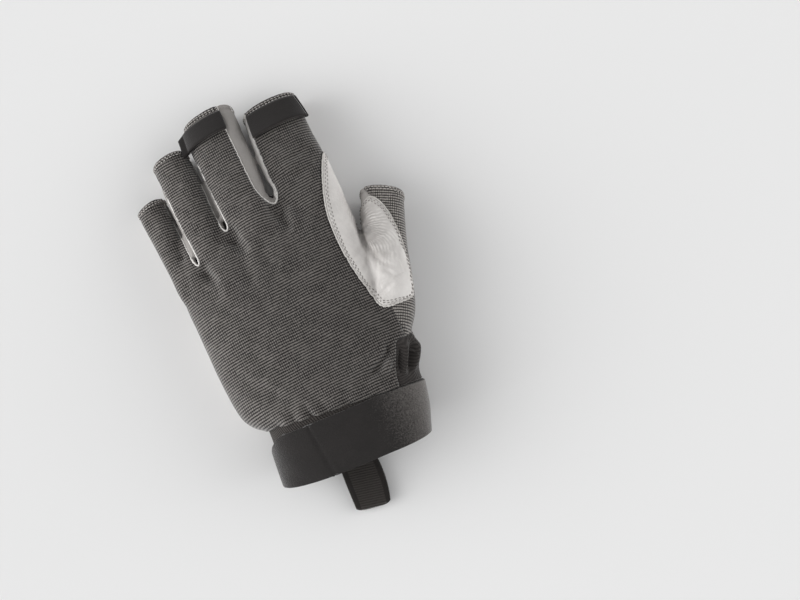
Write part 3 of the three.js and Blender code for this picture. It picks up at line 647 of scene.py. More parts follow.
above = spots[:, 2] > seam_height(spots) - 2.5
raise_by = np.zeros(len(spots))
for x, y, depth, across, forward, back in DENTS:
    run = np.where(spots[:, 1] > y, forward, back)
    raise_by -= above * depth * bell((spots[:, 0] - x) / across) * bell((spots[:, 1] - y) / run)
for folds, side, deeper in ((FOLDS_UP, above, 1.0), (FOLDS_DOWN, ~above, 1.5)):
    for half, depth, line in folds:
        depth *= deeper
        d, share = line_distance(spots, line)
        ends = np.clip(np.minimum(share, 1 - share) * 4, 0, 1)
        lip = 0.35 * bell((d - 2.1 * half) / (0.8 * half))
        raise_by -= side * depth * ends * (bell(d / half) - lip)

# Gathers where the back is eased into the wristband: x, half width, height (below 0 is a dent), lean
GATHERS = [(-47, 2.4, 0.7, 0.2), (-41, 2.0, -0.9, 0.1), (-36.5, 1.9, 1.2, -0.1), (-32, 1.7, -1.3, -0.2),
           (-27.5, 2.0, 1.0, -0.2), (-22, 1.6, -1.5, 0.1), (-18, 1.8, 1.5, 0.3), (-13.5, 1.7, -1.0, 0.2),
           (-8, 2.4, 0.6, 0.0), (-1.5, 2.2, -0.7, -0.2), (4.5, 2.6, 0.5, -0.3), (11, 2.4, -0.6, 0.3),
           (17, 2.4, 0.5, 0.6)]
reach = np.clip((-46 - spots[:, 1]) / 14, 0, 1) ** 1.5 * (spots[:, 0] > -57) * (spots[:, 0] < 36) * above
for x, half, high, lean in GATHERS:
    raise_by += high * reach * bell((spots[:, 0] - x + lean * (spots[:, 1] + 60)) / half)

# Soft unevenness of cloth and leather, crossed waves: length across, length along, height, start
WAVES = [(31, 23, 0.35, 0.4), (17, 29, 0.22, 1.9), (11, 13, 0.10, 3.1), (7, 9, 0.05, 5.0)]
level = np.where(above, np.clip(ways[:, 2], 0, 1), 0.6)
for width, tall, size, seed in WAVES:
    raise_by += level * size * np.sin(spots[:, 0] / width * 6.28 + seed + 0.03 * spots[:, 1]) \
        * np.sin(spots[:, 1] / tall * 6.28 + 2 * seed + 0.02 * spots[:, 0])

# Seams and hems hold the cloth still
held_still = 1 - 0.7 * bell(seam_far / 1.8)
held_still *= np.where(spots[:, 1] > -40, np.clip((rim_far - 1.0) / 5.0, 0, 1), 1)
raise_by *= held_still

# Seams sink into the cloth, the patch lies on top of it, and every tip has a folded hem
SEAM_DEEP, PATCH_PROUD, PIT_DEEP, HEM_WIDE, HEM_PROUD = 0.7, 0.65, 3.4, 2.3, 0.35
patch = within("thumb_web_patch")
raise_by -= ~patch * SEAM_DEEP * bell(seam_far / 1.1)
raise_by += patch * (PATCH_PROUD * (1 - bell(seam_far / 0.5)) + 0.05)
strip = np.any([within(n) for n in names if n.startswith("fourch")], axis=0)
slot_deep = np.clip((seam_far - 0.45) / 0.9, 0, 1) * strip * np.clip((ways[:, 2] - 0.35) * 3, 0, 1)
loop_top = np.where(spots[:, 0] < -30, 48, 59)
pit = np.maximum(slot_deep * (spots[:, 0] < 5) * np.clip((loop_top - spots[:, 1]) / 2, 0, 1),
                 strip * bell((spots[:, 0] - 11.9) / 1.2) * bell((spots[:, 1] - 60.5) / 3.4))
raise_by -= PIT_DEEP * pit
hem = (spots[:, 1] > -40) & (rim_far < 3.6)
raise_by += hem * np.where(rim_far < HEM_WIDE, HEM_PROUD - 0.12 * bell((rim_far - 1.1) / 0.5),
                           -0.3 * bell((rim_far - 2.7) / 0.5))
moved = spots + ways * raise_by[:, None]

# The palm and the thumb lie on the table; their seams and hems stay just off it, the cuff a little more
resting = np.maximum(0.85 * bell(seam_far / 4) * within("thumb_web_patch"), 0.5 * bell(rim_far / 4)) + 0.02
moved[:, 2] = np.maximum(moved[:, 2], np.where(spots[:, 1] < -55.5, 1.2, resting))

# THE SEWN HAND: ITS WALLS
# Every panel is one layer of cloth or leather, 1.25 mm thick with its lining, with a raw edge at its seams
# and a turned edge at the openings.

# The last of these is painted shade: a dark material laid in the pits between the fingers
SKIN, LINING_AND_SHADE, EDGE_AND_PAINTED_LIGHT, THREAD, PAINTED_SHADE = range(5)      # numbers of a panel's materials
triangles = np.array([(c[0], c[i], c[i + 1]) for c in cells for i in range(1, len(c) - 1)])


def normals_of(points):
    """The form's outward directions, each cell counted by its size."""
    cross = np.cross(points[triangles[:, 1]] - points[triangles[:, 0]],
                     points[triangles[:, 2]] - points[triangles[:, 0]])
    out = np.zeros_like(points)
    for k in range(3):
        np.add.at(out, triangles[:, k], cross)
    return out / np.maximum(np.linalg.norm(out, axis=1), 1e-9)[:, None]


ways = normals_of(moved)
skin_tree = BVHTree.FromPolygons([tuple(p) for p in moved], [tuple(c) for c in cells])
CLOTH = 1.25                        # thickness of the wall
LEAST_WALL = 0.9                    # and of what lies on the table
inner = moved - CLOTH * ways
inner[:, 2] = np.maximum(inner[:, 2], LEAST_WALL)


def new_shape():
    return {"points": [], "faces": [], "kinds": [], "count": 0}


def put(shape, points, faces, kind):
    """Adds points and faces to a shape, with the number of its material."""
    shape["points"].append(np.asarray(points, float))
    shape["faces"] += [tuple(int(i) + shape["count"] for i in face) for face in faces]
    shape["kinds"] += [kind] * len(faces)
    shape["count"] += len(points)


def made_from(shape, name, materials, node_name):
    """The finished object of a shape, which stands for one node."""
    made = object_of(name, (np.concatenate(shape["points"]) + PLAN_SHIFT) / 1000, shape["faces"])
    made.data.polygons.foreach_set("material_index", shape["kinds"])
    outward = bmesh.new()
    outward.from_mesh(made.data)
    bmesh.ops.recalc_face_normals(outward, faces=outward.faces[:])
    outward.to_mesh(made.data)
    outward.free()
    for material in materials:
        made.data.materials.append(material)
    made.data.shade_smooth()
    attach(made, "root")
    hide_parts(node_name)


# One shape per panel: outer face, inner face, and the turned or cut edge between them. The strips are painted
# dark as shade in the pit of their slot, and on the index finger's side of its slot the faces that look up
# take the piping's pale leather as painted light
rim_out = np.zeros_like(moved)
for a, b in open_edges:
    cell = cells[edges_of[(a, b)][0]]
    away = (moved[a] + moved[b]) / 2 - moved[cell].mean(axis=0)
    rim_out[a] += away
    rim_out[b] += away
rim_out -= ways * np.sum(rim_out * ways, axis=1)[:, None]
rim_out /= np.maximum(np.linalg.norm(rim_out, axis=1), 1e-9)[:, None]
shapes = {}
for number, name in enumerate(names):
    mine = [cells[i] for i in np.nonzero(label == number)[0]]
    used = np.array(sorted({v for c in mine for v in c}))
    index = {v: k for k, v in enumerate(used)}
    n = len(used)
    faces = [tuple(index[v] for v in c) for c in mine]
    sides = {}
    for c in mine:
        for a, b in zip(c, c[1:] + c[:1]):
            sides[(a, b)] = (b, a) not in sides or sides.pop((b, a)) is None
    sides = [e for e, keep in sides.items() if keep]
    shape = new_shape()
    middle = (moved + inner) / 2 + 0.45 * rim_out
    put(shape, np.concatenate([moved[used], inner[used], middle[used]]), faces, SKIN)
    # Painted shade: cells deep in a slot's pit take the dark fifth material. Painted light: on the index
    # finger's side of its slot, cells that look up take the pale piping
    shape["kinds"] = [PAINTED_SHADE if name.startswith("fourch") and pit[c].mean() > 0.45
                      else EDGE_AND_PAINTED_LIGHT if name.endswith("index") and moved[c][:, 0].mean() > 12.8
                      and ways[c][:, 2].mean() > 0.2
                      else SKIN for c in mine]
    shape["faces"] += [tuple(i + n for i in reversed(f)) for f in faces]
    shape["kinds"] += [LINING_AND_SHADE] * len(faces)
    rim = [(b, a) for a, b in sides]
    shape["faces"] += [(index[a], index[b], index[b] + 2 * n, index[a] + 2 * n) for a, b in rim]
    shape["faces"] += [(index[a] + 2 * n, index[b] + 2 * n, index[b] + n, index[a] + n) for a, b in rim]
    shape["kinds"] += [EDGE_AND_PAINTED_LIGHT] * 2 * len(rim)
    shapes[name] = shape


# HEMS OF THE FINGERS AND THE THUMB
# Each opening is turned in once and sewn down with two rows of polyester thread, 2 mm to a stitch. The
# stitches lie on whichever panel they cross, and belong to it.

def even(line, step):
    """The run of points cut into equal steps."""
    line = np.asarray(line, float)
    far = np.concatenate([[0], np.cumsum(np.linalg.norm(np.diff(line, axis=0), axis=1))])
    marks = np.linspace(0, far[-1], max(2, int(round(far[-1] / step)) + 1))
    return np.stack([np.interp(marks, far, line[:, k]) for k in range(3)], axis=1)


THREAD_WIDE = 0.24                  # radius
THREAD_LIFT = 0.10                  # height of its middle above the skin


def stitches(shape, line, pitch, length):
    """A row of stitches along a line on the skin: short threads that dip in at both ends."""
    points, normals = line[:, :3], line[:, 3:]
    far = np.concatenate([[0], np.cumsum(np.linalg.norm(np.diff(points, axis=0), axis=1))])
    for mark in np.arange(pitch / 2, far[-1] - pitch / 4, pitch):
        centre = np.array([np.interp(mark, far, points[:, k]) for k in range(3)])
        if skin_tree.find_nearest(Vector(centre))[3] > 0.4:
            continue
        front = np.array([np.interp(mark + length / 2, far, points[:, k]) for k in range(3)])
        back = np.array([np.interp(mark - length / 2, far, points[:, k]) for k in range(3)])
        up = np.array([np.interp(mark, far, normals[:, k]) for k in range(3)])
        up /= max(np.linalg.norm(up), 1e-9)
        along = (front - back) / max(np.linalg.norm(front - back), 1e-9)
        across = np.cross(up, along)
        rings = []
        for share, wide, high in ((-1, 0.35, -0.9), (-0.6, 0.9, 0.2), (0, 1, 0.5), (0.6, 0.9, 0.2),
                                  (1, 0.35, -0.9)):
            heart = centre + along * share * length / 2 + up * (THREAD_LIFT + high * THREAD_WIDE)
            rings.append([heart + THREAD_WIDE * wide * (math.cos(t) * across + math.sin(t) * up)
                          for t in np.arange(6) * math.pi / 3])
        put(shape, *skin_of(np.array(rings)), THREAD)


HEM_ROWS = (0.75, 1.95)             # distance of the two rows from the edge
HEM_STITCH, HEM_THREAD = 2.0, 1.35  # from stitch to stitch, and how much of it the thread shows
for run in chains(open_edges):
    if moved[run][:, 1].mean() < -50:
        continue
    line = even(eased(moved[run], 3), 0.8)
    for by in HEM_ROWS:
        rows = {}
        for i, p in enumerate(line):
            spot, normal, face, _ = skin_tree.find_nearest(Vector(p))
            inward = -np.mean([rim_out[v] for v in cells[face]], axis=0)
            inward = by * inward / max(np.linalg.norm(inward), 0.3)
            spot, normal, face, _ = skin_tree.find_nearest(Vector(p + inward))
            rows.setdefault(names[label[face]], []).append((i, [*spot, *normal]))
        for panel, spots_on in rows.items():
            start = 0
            for k in range(1, len(spots_on) + 1):
                if k == len(spots_on) or spots_on[k][0] > spots_on[k - 1][0] + 1:
                    if k - start > 8:
                        piece = np.array([item[1] for item in spots_on[start:k]])
                        piece = np.column_stack([eased(piece[:, :3], 6), eased(piece[:, 3:], 6)])
                        stitches(shapes[panel], piece, HEM_STITCH, HEM_THREAD)
                    start = k


# BACK OF THE HAND
# One piece of ribbed stretch weave from the wrist to the four fingertips, with a brushed lining, sewn to the
# palm along the side seam and gathered into the wristband.

def coordinates(tree, turn=0.0):
    """Places on the piece, turned about the vertical, and their x, y and z."""
    place = node(tree, "ShaderNodeTexCoord").outputs["Object"]
    place = node(tree, "ShaderNodeMapping", Vector=place, Rotation=(0, 0, turn))
    return place, node(tree, "ShaderNodeSeparateXYZ", Vector=place).outputs


def sine(tree, value, pitch, phase=0.0):
    """0 to 1, going up and down once in every pitch (metres)."""
    turns = node(tree, "ShaderNodeMath", operation="MULTIPLY_ADD", in0=value, in1=2 * math.pi / pitch,
                 in2=phase)
    wave = node(tree, "ShaderNodeMath", operation="SINE", in0=turns)
    return node(tree, "ShaderNodeMath", operation="MULTIPLY_ADD", in0=wave, in1=0.5, in2=0.5)


def combine(tree, a, share, b, other):
    """a times its share plus b times the other share."""
    first = node(tree, "ShaderNodeMath", operation="MULTIPLY", in0=a, in1=share)
    return node(tree, "ShaderNodeMath", operation="MULTIPLY_ADD", in0=b, in1=other, in2=first)


def finished(tree, colour, height, depth, rough, sheen):
    """Ends a material: colour and relief go into one shader."""
    bump = node(tree, "ShaderNodeBump", Height=height, Strength=1.0, Distance=depth)
    shader = node(tree, "ShaderNodeBsdfPrincipled", Normal=bump, Base_Color=colour, Roughness=rough,
                  Sheen_Weight=sheen, Sheen_Roughness=0.45, IOR=1.5, Specular_IOR_Level=0.25)
    node(tree, "ShaderNodeOutputMaterial", Surface=shader)


def weave(name, dark, light, painted_light_falloff, turn=0.0):
    """Ribbed stretch weave. Thick ribs, 1.5 mm apart, run across the fingers, and cords, 1 to 1.2 mm
    apart, cross them; where the cloth is slack the cords sink in and only the ribs show. The yarn itself,
    about 0.2 mm, is too fine for the picture, so its flecks are drawn about 1 mm wide. To the eye: dusty
    light knots over near-black valleys, no gloss, and painted light: paler to the little finger and darker
    to the thumb by the share painted_light_falloff, mixed with random mottling."""
    material, tree = new_material(name)
    place, parts = coordinates(tree, turn)
    drift = node(tree, "ShaderNodeTexNoise", Vector=place, Scale=45.0, Detail=1.0)
    bend = node(tree, "ShaderNodeMath", operation="MULTIPLY", in0=drift, in1=6.0)
    along = node(tree, "ShaderNodeMath", operation="MULTIPLY_ADD", in0=parts["Z"], in1=-0.2, in2=parts["Y"])
    ribs = sine(tree, along, 0.0015, bend)
    # On flat cloth the cords are spaced along X, on steep cloth along Z
    facing = node(tree, "ShaderNodeTexCoord").outputs["Normal"]
    facing = node(tree, "ShaderNodeSeparateXYZ", Vector=facing).outputs["Z"]
    level = node(tree, "ShaderNodeMath", operation="ABSOLUTE", in0=facing)
    level = node(tree, "ShaderNodeMapRange", Value=level, From_Min=0.45, From_Max=0.70)
    steep = node(tree, "ShaderNodeMath", operation="SUBTRACT", in0=1.0, in1=level)
    flat_cords = node(tree, "ShaderNodeMath", operation="MULTIPLY", in0=sine(tree, parts["X"], 0.0012, bend),
                      in1=level)
    cords = node(tree, "ShaderNodeMath", operation="MULTIPLY_ADD", in0=sine(tree, parts["Z"], 0.0010, bend),
                 in1=steep, in2=flat_cords)
    slack = node(tree, "ShaderNodeTexNoise", Vector=place, Scale=130.0, Detail=2.0)
    slack = node(tree, "ShaderNodeMapRange", Value=slack, From_Min=0.42, From_Max=0.60, To_Max=0.70)
    cords = node(tree, "ShaderNodeMix", data_type="FLOAT", in0=slack, in2=cords, in3=0.6)
    knots = node(tree, "ShaderNodeMath", operation="MULTIPLY", in0=ribs, in1=cords)
    cloth = combine(tree, ribs, 0.22, knots, 0.78)
    flecks = node(tree, "ShaderNodeTexNoise", Vector=place, Scale=900.0, Detail=2.0, Roughness=0.7)
    flecked = combine(tree, cloth, 0.54, flecks, 0.46)
    sharp = node(tree, "ShaderNodeMapRange", Value=flecked, From_Min=0.265, From_Max=0.60)
    yarn = node(tree, "ShaderNodeMix", data_type="RGBA", in0=sharp, in6=dark, in7=light).outputs[2]
    broad = node(tree, "ShaderNodeTexNoise", Vector=place, Scale=28.0, Detail=3.0)
    # Painted light from the left: paler towards the little finger, darker towards the thumb, mixed with
    # random mottling
    across = node(tree, "ShaderNodeMapRange", Value=parts["X"], From_Min=-0.060, From_Max=0.030,
                  To_Min=1.0, To_Max=0.0)
    lit_share_and_mottle = combine(tree, across, painted_light_falloff, broad, 1 - painted_light_falloff)
    painted_light_and_mottle = node(tree, "ShaderNodeMix", data_type="RGBA", in0=lit_share_and_mottle, in6="#787572", in7="#ffffff").outputs[2]
    tone = node(tree, "ShaderNodeMix", data_type="RGBA", blend_type="MULTIPLY", in0=0.6, in6=yarn, in7=painted_light_and_mottle)
    finished(tree, tone.outputs[2], cloth, 0.00035, 0.9, 0.5)
    return material


def plain_cloth(name, dark, light, scale=1500.0, depth=0.0002, rough=0.95, sheen=0.2, ribs=None, sheen_and_rubbed=None):
    """Fibres, knitted, woven or brushed, drawn 0.5 to 1 mm wide where the real ones, 0.02 mm, are too fine.
    ribs: pitch in metres, and how much x, y and z count towards it. sheen_and_rubbed: where along x it begins
    and ends, and the pale colour there, a painted sheen broken into tufts of rubbed fibre."""
    material, tree = new_material(name)
    place, parts = coordinates(tree)
    fibres = node(tree, "ShaderNodeTexNoise", Vector=place, Scale=scale, Detail=3.0)
    patchy = node(tree, "ShaderNodeTexNoise", Vector=place, Scale=90.0, Detail=3.0)
    tone, relief = combine(tree, fibres, 0.6, patchy, 0.4), fibres
    if ribs is not None:
        pitch, *shares = ribs
        run = node(tree, "ShaderNodeVectorMath", operation="DOT_PRODUCT", in0=place, in1=shares)
        rib = sine(tree, run.outputs["Value"], pitch)
        relief = combine(tree, relief, 0.4, rib, 0.8)
        tone = combine(tree, tone, 0.6, rib, 0.45)
    colour = node(tree, "ShaderNodeMix", data_type="RGBA", in0=tone, in6=dark, in7=light).outputs[2]
    # Paler towards one end along x: painted sheen, broken into tufts of fluff
    if sheen_and_rubbed is not None:
        start, end, pale = sheen_and_rubbed
        reach = node(tree, "ShaderNodeMapRange", Value=parts["X"], From_Min=start, From_Max=end,
                     To_Min=-0.60, To_Max=0.55)
        tangled = node(tree, "ShaderNodeTexNoise", Vector=place, Scale=1100.0, Detail=5.0, Roughness=0.8)
        tufts = node(tree, "ShaderNodeMapRange", Value=tangled, From_Min=0.30, From_Max=0.70,
                     To_Min=-0.15, To_Max=0.75)
        shows = node(tree, "ShaderNodeMath", operation="ADD", in0=reach, in1=tufts)
        colour = node(tree, "ShaderNodeMix", data_type="RGBA", in0=shows, in6=colour, in7=pale).outputs[2]
        relief = combine(tree, relief, 0.5, tangled, 1.2)
    finished(tree, colour, relief, depth, rough, sheen)
    return material


# Black yarn worn to a dusty grey on its knots; painted light makes it paler towards the little-finger side
# and darker towards the thumb
back_weave = weave("ribbed stretch weave, across the hand", "#0d0b0b", "#87827e", 0.6)
# Knitted and brushed: soft near-black inside, so the openings read as deep; it is also laid as painted shade
# in the pits of the slots and under the patch's edge
lining_and_painted_shade = plain_cloth("brushed lining, dark grey", "#1d1b1b", "#3a3736")
# The weave folded on itself: its edge is paler and plainer than its face
cut_cloth = plain_cloth("turned hem of the weave", "#3a3735", "#6d6966")
# Twisted and waxed: small pale dashes with a slight gloss
thread = plain_cloth("polyester thread, pale grey", "#a09c98", "#dcd8d4", rough=0.6, sheen=0.0)
made_from(shapes["back_panel"], "back_panel_sewn", [back_weave, lining_and_painted_shade, cut_cloth, thread], "back_panel")

# BACK OF THE THUMB
# The same weave, cut along the thumb and sewn to the palm leather on both sides; its yarn is coloured paler
# than on the back, with no paling to one side.

thumb_weave = weave("ribbed stretch weave, across the thumb", "#2b2826", "#b1aca7", 0.0, math.radians(28))
made_from(shapes["thumb_back"], "thumb_back_sewn", [thumb_weave, lining_and_painted_shade, cut_cloth, thread], "thumb_back")

# PALM
# Light goatskin in one piece: the palm, the fronts of the fingers and the front of the thumb. It is sewn to
# the weave along the side seam and lies on the table.

def leather(name, dark, light, fan=None):
    """Full grain goatskin, chrome tanned. Grain about 1 mm wide stands for real pebbles of 0.3 mm, which are
    too fine for the picture. To the eye: a cloudy warm white with soft pebbles and a low gloss. fan is the
    plan point that fine wrinkles spread from; near it, on one side, the colour is painted darker as shade,
    and the wrinkles are painted paler on their crests as light."""
    material, tree = new_material(name)
    place, parts = coordinates(tree)
    grain = node(tree, "ShaderNodeTexVoronoi", Vector=place, Scale=900.0, feature="SMOOTH_F1", Smoothness=0.6)
    creases = node(tree, "ShaderNodeTexNoise", Vector=place, Scale=260.0, Detail=4.0, Roughness=0.6)
    cloud = node(tree, "ShaderNodeTexNoise", Vector=place, Scale=38.0, Detail=4.0, Roughness=0.6)
    relief = combine(tree, grain, 0.55, creases, 0.6)
    tone = combine(tree, cloud, 0.9, creases, 0.25)
    if fan is not None:
        heart = [-(fan[k] + PLAN_SHIFT[k]) / 1000 for k in (0, 1)]
        spread = node(tree, "ShaderNodeMapping", Vector=place, Location=(*heart, 0))
        flat = node(tree, "ShaderNodeSeparateXYZ", Vector=spread).outputs
        angle = node(tree, "ShaderNodeMath", operation="ARCTAN2", in0=flat["Y"], in1=flat["X"])
        sway = node(tree, "ShaderNodeTexNoise", Vector=place, Scale=120.0, Detail=3.0)
        sway = node(tree, "ShaderNodeMath", operation="MULTIPLY", in0=sway, in1=15.0)
        level = node(tree, "ShaderNodeCombineXYZ", X=flat["X"], Y=flat["Y"])
        far = node(tree, "ShaderNodeVectorMath", operation="LENGTH", in0=level).outputs["Value"]
        curled = node(tree, "ShaderNodeMath", operation="MULTIPLY_ADD", in0=far, in1=45.0, in2=angle)
        lines = sine(tree, curled, 0.13, sway)
        broken = node(tree, "ShaderNodeTexNoise", Vector=place, Scale=170.0, Detail=2.0)
        broken = node(tree, "ShaderNodeMapRange", Value=broken, From_Min=0.35, From_Max=0.65)
        lines = node(tree, "ShaderNodeMath", operation="MULTIPLY", in0=lines, in1=broken)
        painted_light_falloff = node(tree, "ShaderNodeMapRange", Value=far, From_Min=0.006, From_Max=0.027,
                    To_Min=1.0, To_Max=0.0)
        side = node(tree, "ShaderNodeMapRange", Value=flat["X"], From_Min=-0.001, From_Max=0.003)
        share = node(tree, "ShaderNodeMath", operation="MULTIPLY", in0=painted_light_falloff, in1=side)
        wrinkles_and_painted_light = node(tree, "ShaderNodeMath", operation="MULTIPLY", in0=lines, in1=share)
        relief = combine(tree, relief, 1.0, wrinkles_and_painted_light, 1.6)
        # Painted shade: beside the fold, on the thumb's side, the colour is darkened; painted light: the
        # wrinkles are paler on their crests
        tone = combine(tree, tone, 1.0, share, -0.75)
        tone = combine(tree, tone, 1.0, wrinkles_and_painted_light, 0.70)
    colour = node(tree, "ShaderNodeMix", data_type="RGBA", in0=tone, in6=dark, in7=light).outputs[2]
    finished(tree, colour, relief, 0.00025, 0.62, 0.08)
    return material


# Undyed and a little soiled, so greyer than the patch
goatskin = leather("goatskin, light grey", "#96928f", "#c0bcb9")
# Cut with a knife: the fibres of the hide show as a matt pale line
cut_skin = plain_cloth("cut edge of the leather", "#aca8a4", "#dad7d3")
# The same thread, painted darker as the shade of its stitch holes: grey dashes, darker than the skin round
# them
thread_in_painted_shade = plain_cloth("polyester thread on the leather", "#6f6b67", "#9c9894", rough=0.6, sheen=0.0)
made_from(shapes["palm_panel"], "palm_panel_sewn", [goatskin, lining_and_painted_shade, cut_skin, thread_in_painted_shade], "palm_panel")

# THUMB WEB PATCH
# A second layer of goatskin where the rope runs, from the base of the index finger over the web to the
# thumb. It lies on top of the other panels with a thin cut edge, held by two rows of stitches.

def seam_between(one, other):
    """The seam lines between two panels that are longer than a crumb."""
    pair = {names.index(one), names.index(other)}
    runs = chains([edge for edge, a, b in seam_edges if {a, b} == pair])
    lines = [even(eased(moved[run], 5), 0.8) for run in runs if len(run) > 4]
    return [line for line in lines if 0.8 * len(line) > 12]


def beside_line(line, by, panel):
    """A line on the skin at a distance from a seam line, on a panel's side of it."""
    number = names.index(panel)
    out = []
    for sign in (1, -1):
        points, hits = [], 0
        for i, p in enumerate(line):
            along = line[min(i + 2, len(line) - 1)] - line[max(i - 2, 0)]
            spot, normal, face, _ = skin_tree.find_nearest(Vector(p))
            side = Vector(along).cross(normal).normalized() * (sign * by)
            spot, normal, face, _ = skin_tree.find_nearest(Vector(p) + side)
            points.append(np.array([*spot, *normal]))
            hits += label[face] == number
        out.append((hits, np.array(points)))
    points = max(out, key=lambda pair: pair[0])[1]
    smooth = eased(points[:, :3], 12)
    ups = eased(points[:, 3:], 12)
    on = [skin_tree.find_nearest(Vector(p))[0][:] for p in smooth]
    return np.column_stack([eased(on, 2), ups])


def tube(shape, line, radius, kind):
    """A round cord along a line, its radius one number or one for each point."""
    sides = 8
    line = np.asarray(line, float)
    radii = np.broadcast_to(radius, len(line))
    rings = []
    for i, p in enumerate(line):
        along = line[min(i + 1, len(line) - 1)] - line[max(i - 1, 0)]
        along /= max(np.linalg.norm(along), 1e-9)
        across = np.cross(along, (0, 0, 1)) if abs(along[2]) < 0.9 else np.cross(along, (1, 0, 0))
        across /= np.linalg.norm(across)
        up = np.cross(across, along)
        turn = np.arange(sides) / sides * 2 * np.pi
        rings.append(p + radii[i] * (np.cos(turn)[:, None] * across + np.sin(turn)[:, None] * up))
    put(shape, *skin_of(np.array(rings)), kind)


STITCH, STITCH_THREAD = 2.3, 1.4    # from stitch to stitch, and how much of it the thread shows
STITCH_ROWS = (1.7, 3.3)            # distance of the two rows from the cut edge
EDGE_WIDE = 0.34                    # radius of the cut edge; at the wrist it is scalloped by gathering
SCALLOP, SCALLOP_PITCH = 0.38, 2.4
for panel in ("back_panel", "palm_panel", "thumb_back"):
    for line in seam_between("thumb_web_patch", panel):
        shape = shapes["thumb_web_patch"]
        normals = np.array([skin_tree.find_nearest(Vector(p))[1][:] for p in line])
        far = 0.8 * np.arange(len(line))
        scallop = np.where((line[:, 1] < -20) & (line[:, 2] > 16), SCALLOP, 0.08)
        wide = EDGE_WIDE + scallop * np.abs(np.sin(far * math.pi / SCALLOP_PITCH))
        tube(shape, line + 0.30 * normals, wide, EDGE_AND_PAINTED_LIGHT)
        for by in STITCH_ROWS:
            stitches(shape, beside_line(line, by, "thumb_web_patch"), STITCH, STITCH_THREAD)
        # on the weave a dark cord of the lining is laid under the edge as painted shadow
        if panel != "palm_panel":
            under = beside_line(line, 0.7, panel)
            tube(shape, under[3:-3, :3] - 0.05 * under[3:-3, 3:], 0.36, LINING_AND_SHADE)
# Thicker and newer: nearly white on its swells, with wrinkles fanned out of the fold in the web; beside the
# fold a painted shade, and painted light on the wrinkles' crests
web_skin = leather("goatskin of the web patch, off-white", "#a6a29f", "#ece9e6", fan=(45.1, 18.3))
made_from(shapes["thumb_web_patch"], "thumb_web_patch_sewn", [web_skin, lining_and_painted_shade, cut_skin, thread_in_painted_shade],
          "thumb_web_patch")

# STRIPS BETWEEN THE FINGERS
# Three narrow strips of goatskin that give the fingers their depth. Their seam with the back is piped: a
# turned leather edge stands out on one side of each slot and round its end.

PIPE_PROUD, PIPE_SUNK = 0.48, 0.24  # radius where the piping stands out, and where it is drawn in
# x of each slot, left of which the piping is drawn in as far down as y
PIPED = {"little_ring": (-42.0, 47), "ring_middle": (-19.2, 57), "middle_index": (11, 58)}
for slot in ("little_ring", "ring_middle", "middle_index"):
    shape = shapes["fourchette_" + slot]
    for line in seam_between("fourchette_" + slot, "back_panel"):
        normals = np.array([skin_tree.find_nearest(Vector(p))[1][:] for p in line])
        side, loop_end = PIPED[slot]
        hidden = (line[:, 0] < side) & (line[:, 1] > loop_end)
        tube(shape, line + 0.2 * normals, np.where(hidden, PIPE_SUNK, PIPE_PROUD), EDGE_AND_PAINTED_LIGHT)
# In the depth between two fingers the leather gets little light; its colour is painted a darker grey there as
# shade
side_skin = leather("goatskin between the fingers, shaded grey", "#73706d", "#a19d9a")
# Skived thin and turned over a cord: the smoothest and palest line of the glove
# It is also laid, as painted light, on the cells that look up on the index finger's side of its slot
piping_and_painted_light = leather("turned leather piping", "#cbc8c5", "#e6e3e0")
# The fifth material, the dark lining, is painted shade in the pits of the slots
for slot, flat in (("little_ring", (0.026, 0.048)), ("ring_middle", (0.024, 0.047)),
                   ("middle_index", (0.044, 0.076))):
    made_from(shapes["fourchette_" + slot], "fourchette_%s_sewn" % slot,
              [side_skin, lining_and_painted_shade, piping_and_painted_light, thread_in_painted_shade, lining_and_painted_shade], "fourchette_" + slot)

# WRIST GUSSET
# A small piece of dark knitted elastic on the thumb side of the wrist that lets the hand in; with the strap
# closed it folds into two soft lobes.

# Knitted ribs, 1.2 mm apart: near-black with a soft grain
vent = plain_cloth("knitted elastic of the wrist vent", "#171514", "#413d3b", depth=0.0003,
                   ribs=(0.0012, 0.3, 0.7, 0.7))
made_from(shapes["wrist_gusset"], "wrist_gusset_sewn", [vent, lining_and_painted_shade, cut_cloth, thread], "wrist_gusset")

# WRISTBAND
# A tube of woven elastic that draws the glove in round the wrist. It is sewn to the back, the palm and the
# gusset and is open at the cuff.

# As the rows of the hand, and last how much a row leans with height
BAND_ROWS = np.array([
    (-55.0, -47.2, -3, 41.0, 17.0, 17.0, 37.4, 0.6, 0.060, 0.00),
    (-65.5, -48.1, -3, 39.8, 17.0, 17.0, 37.4, 0.6, 0.060, 0.06),
    (-73.8, -49.4, -3, 37.8, 16.6, 16.6, 36.8, 0.6, 0.062, 0.14),
    (-82.2, -50.6, -4, 35.2, 16.0, 16.2, 35.8, 0.6, 0.064, 0.20),
    (-90.0, -51.8, -5, 32.0, 15.4, 15.8, 34.4, 0.6, 0.066, 0.25),
])
BAND_POINTS = 44                    # ring points round the band; places on it are given in these
FINE = 4                            # mesh points to a ring point
BAND_STEPS = 6                      # rings between two rows
BAND_THICK = 1.5
OFF_TABLE = 1.7                     # lowest point of the band; the pull loop lies under it


def band_rings(inset=0.0):
    """The band's face, or its inside at an inset."""
    rings = [hand_ring(row, BAND_POINTS * FINE, inset) for row in through(BAND_ROWS, BAND_STEPS)]
    for ring in rings:
        ring[:, 2] = np.maximum(ring[:, 2], OFF_TABLE + inset)
    return np.array(rings)


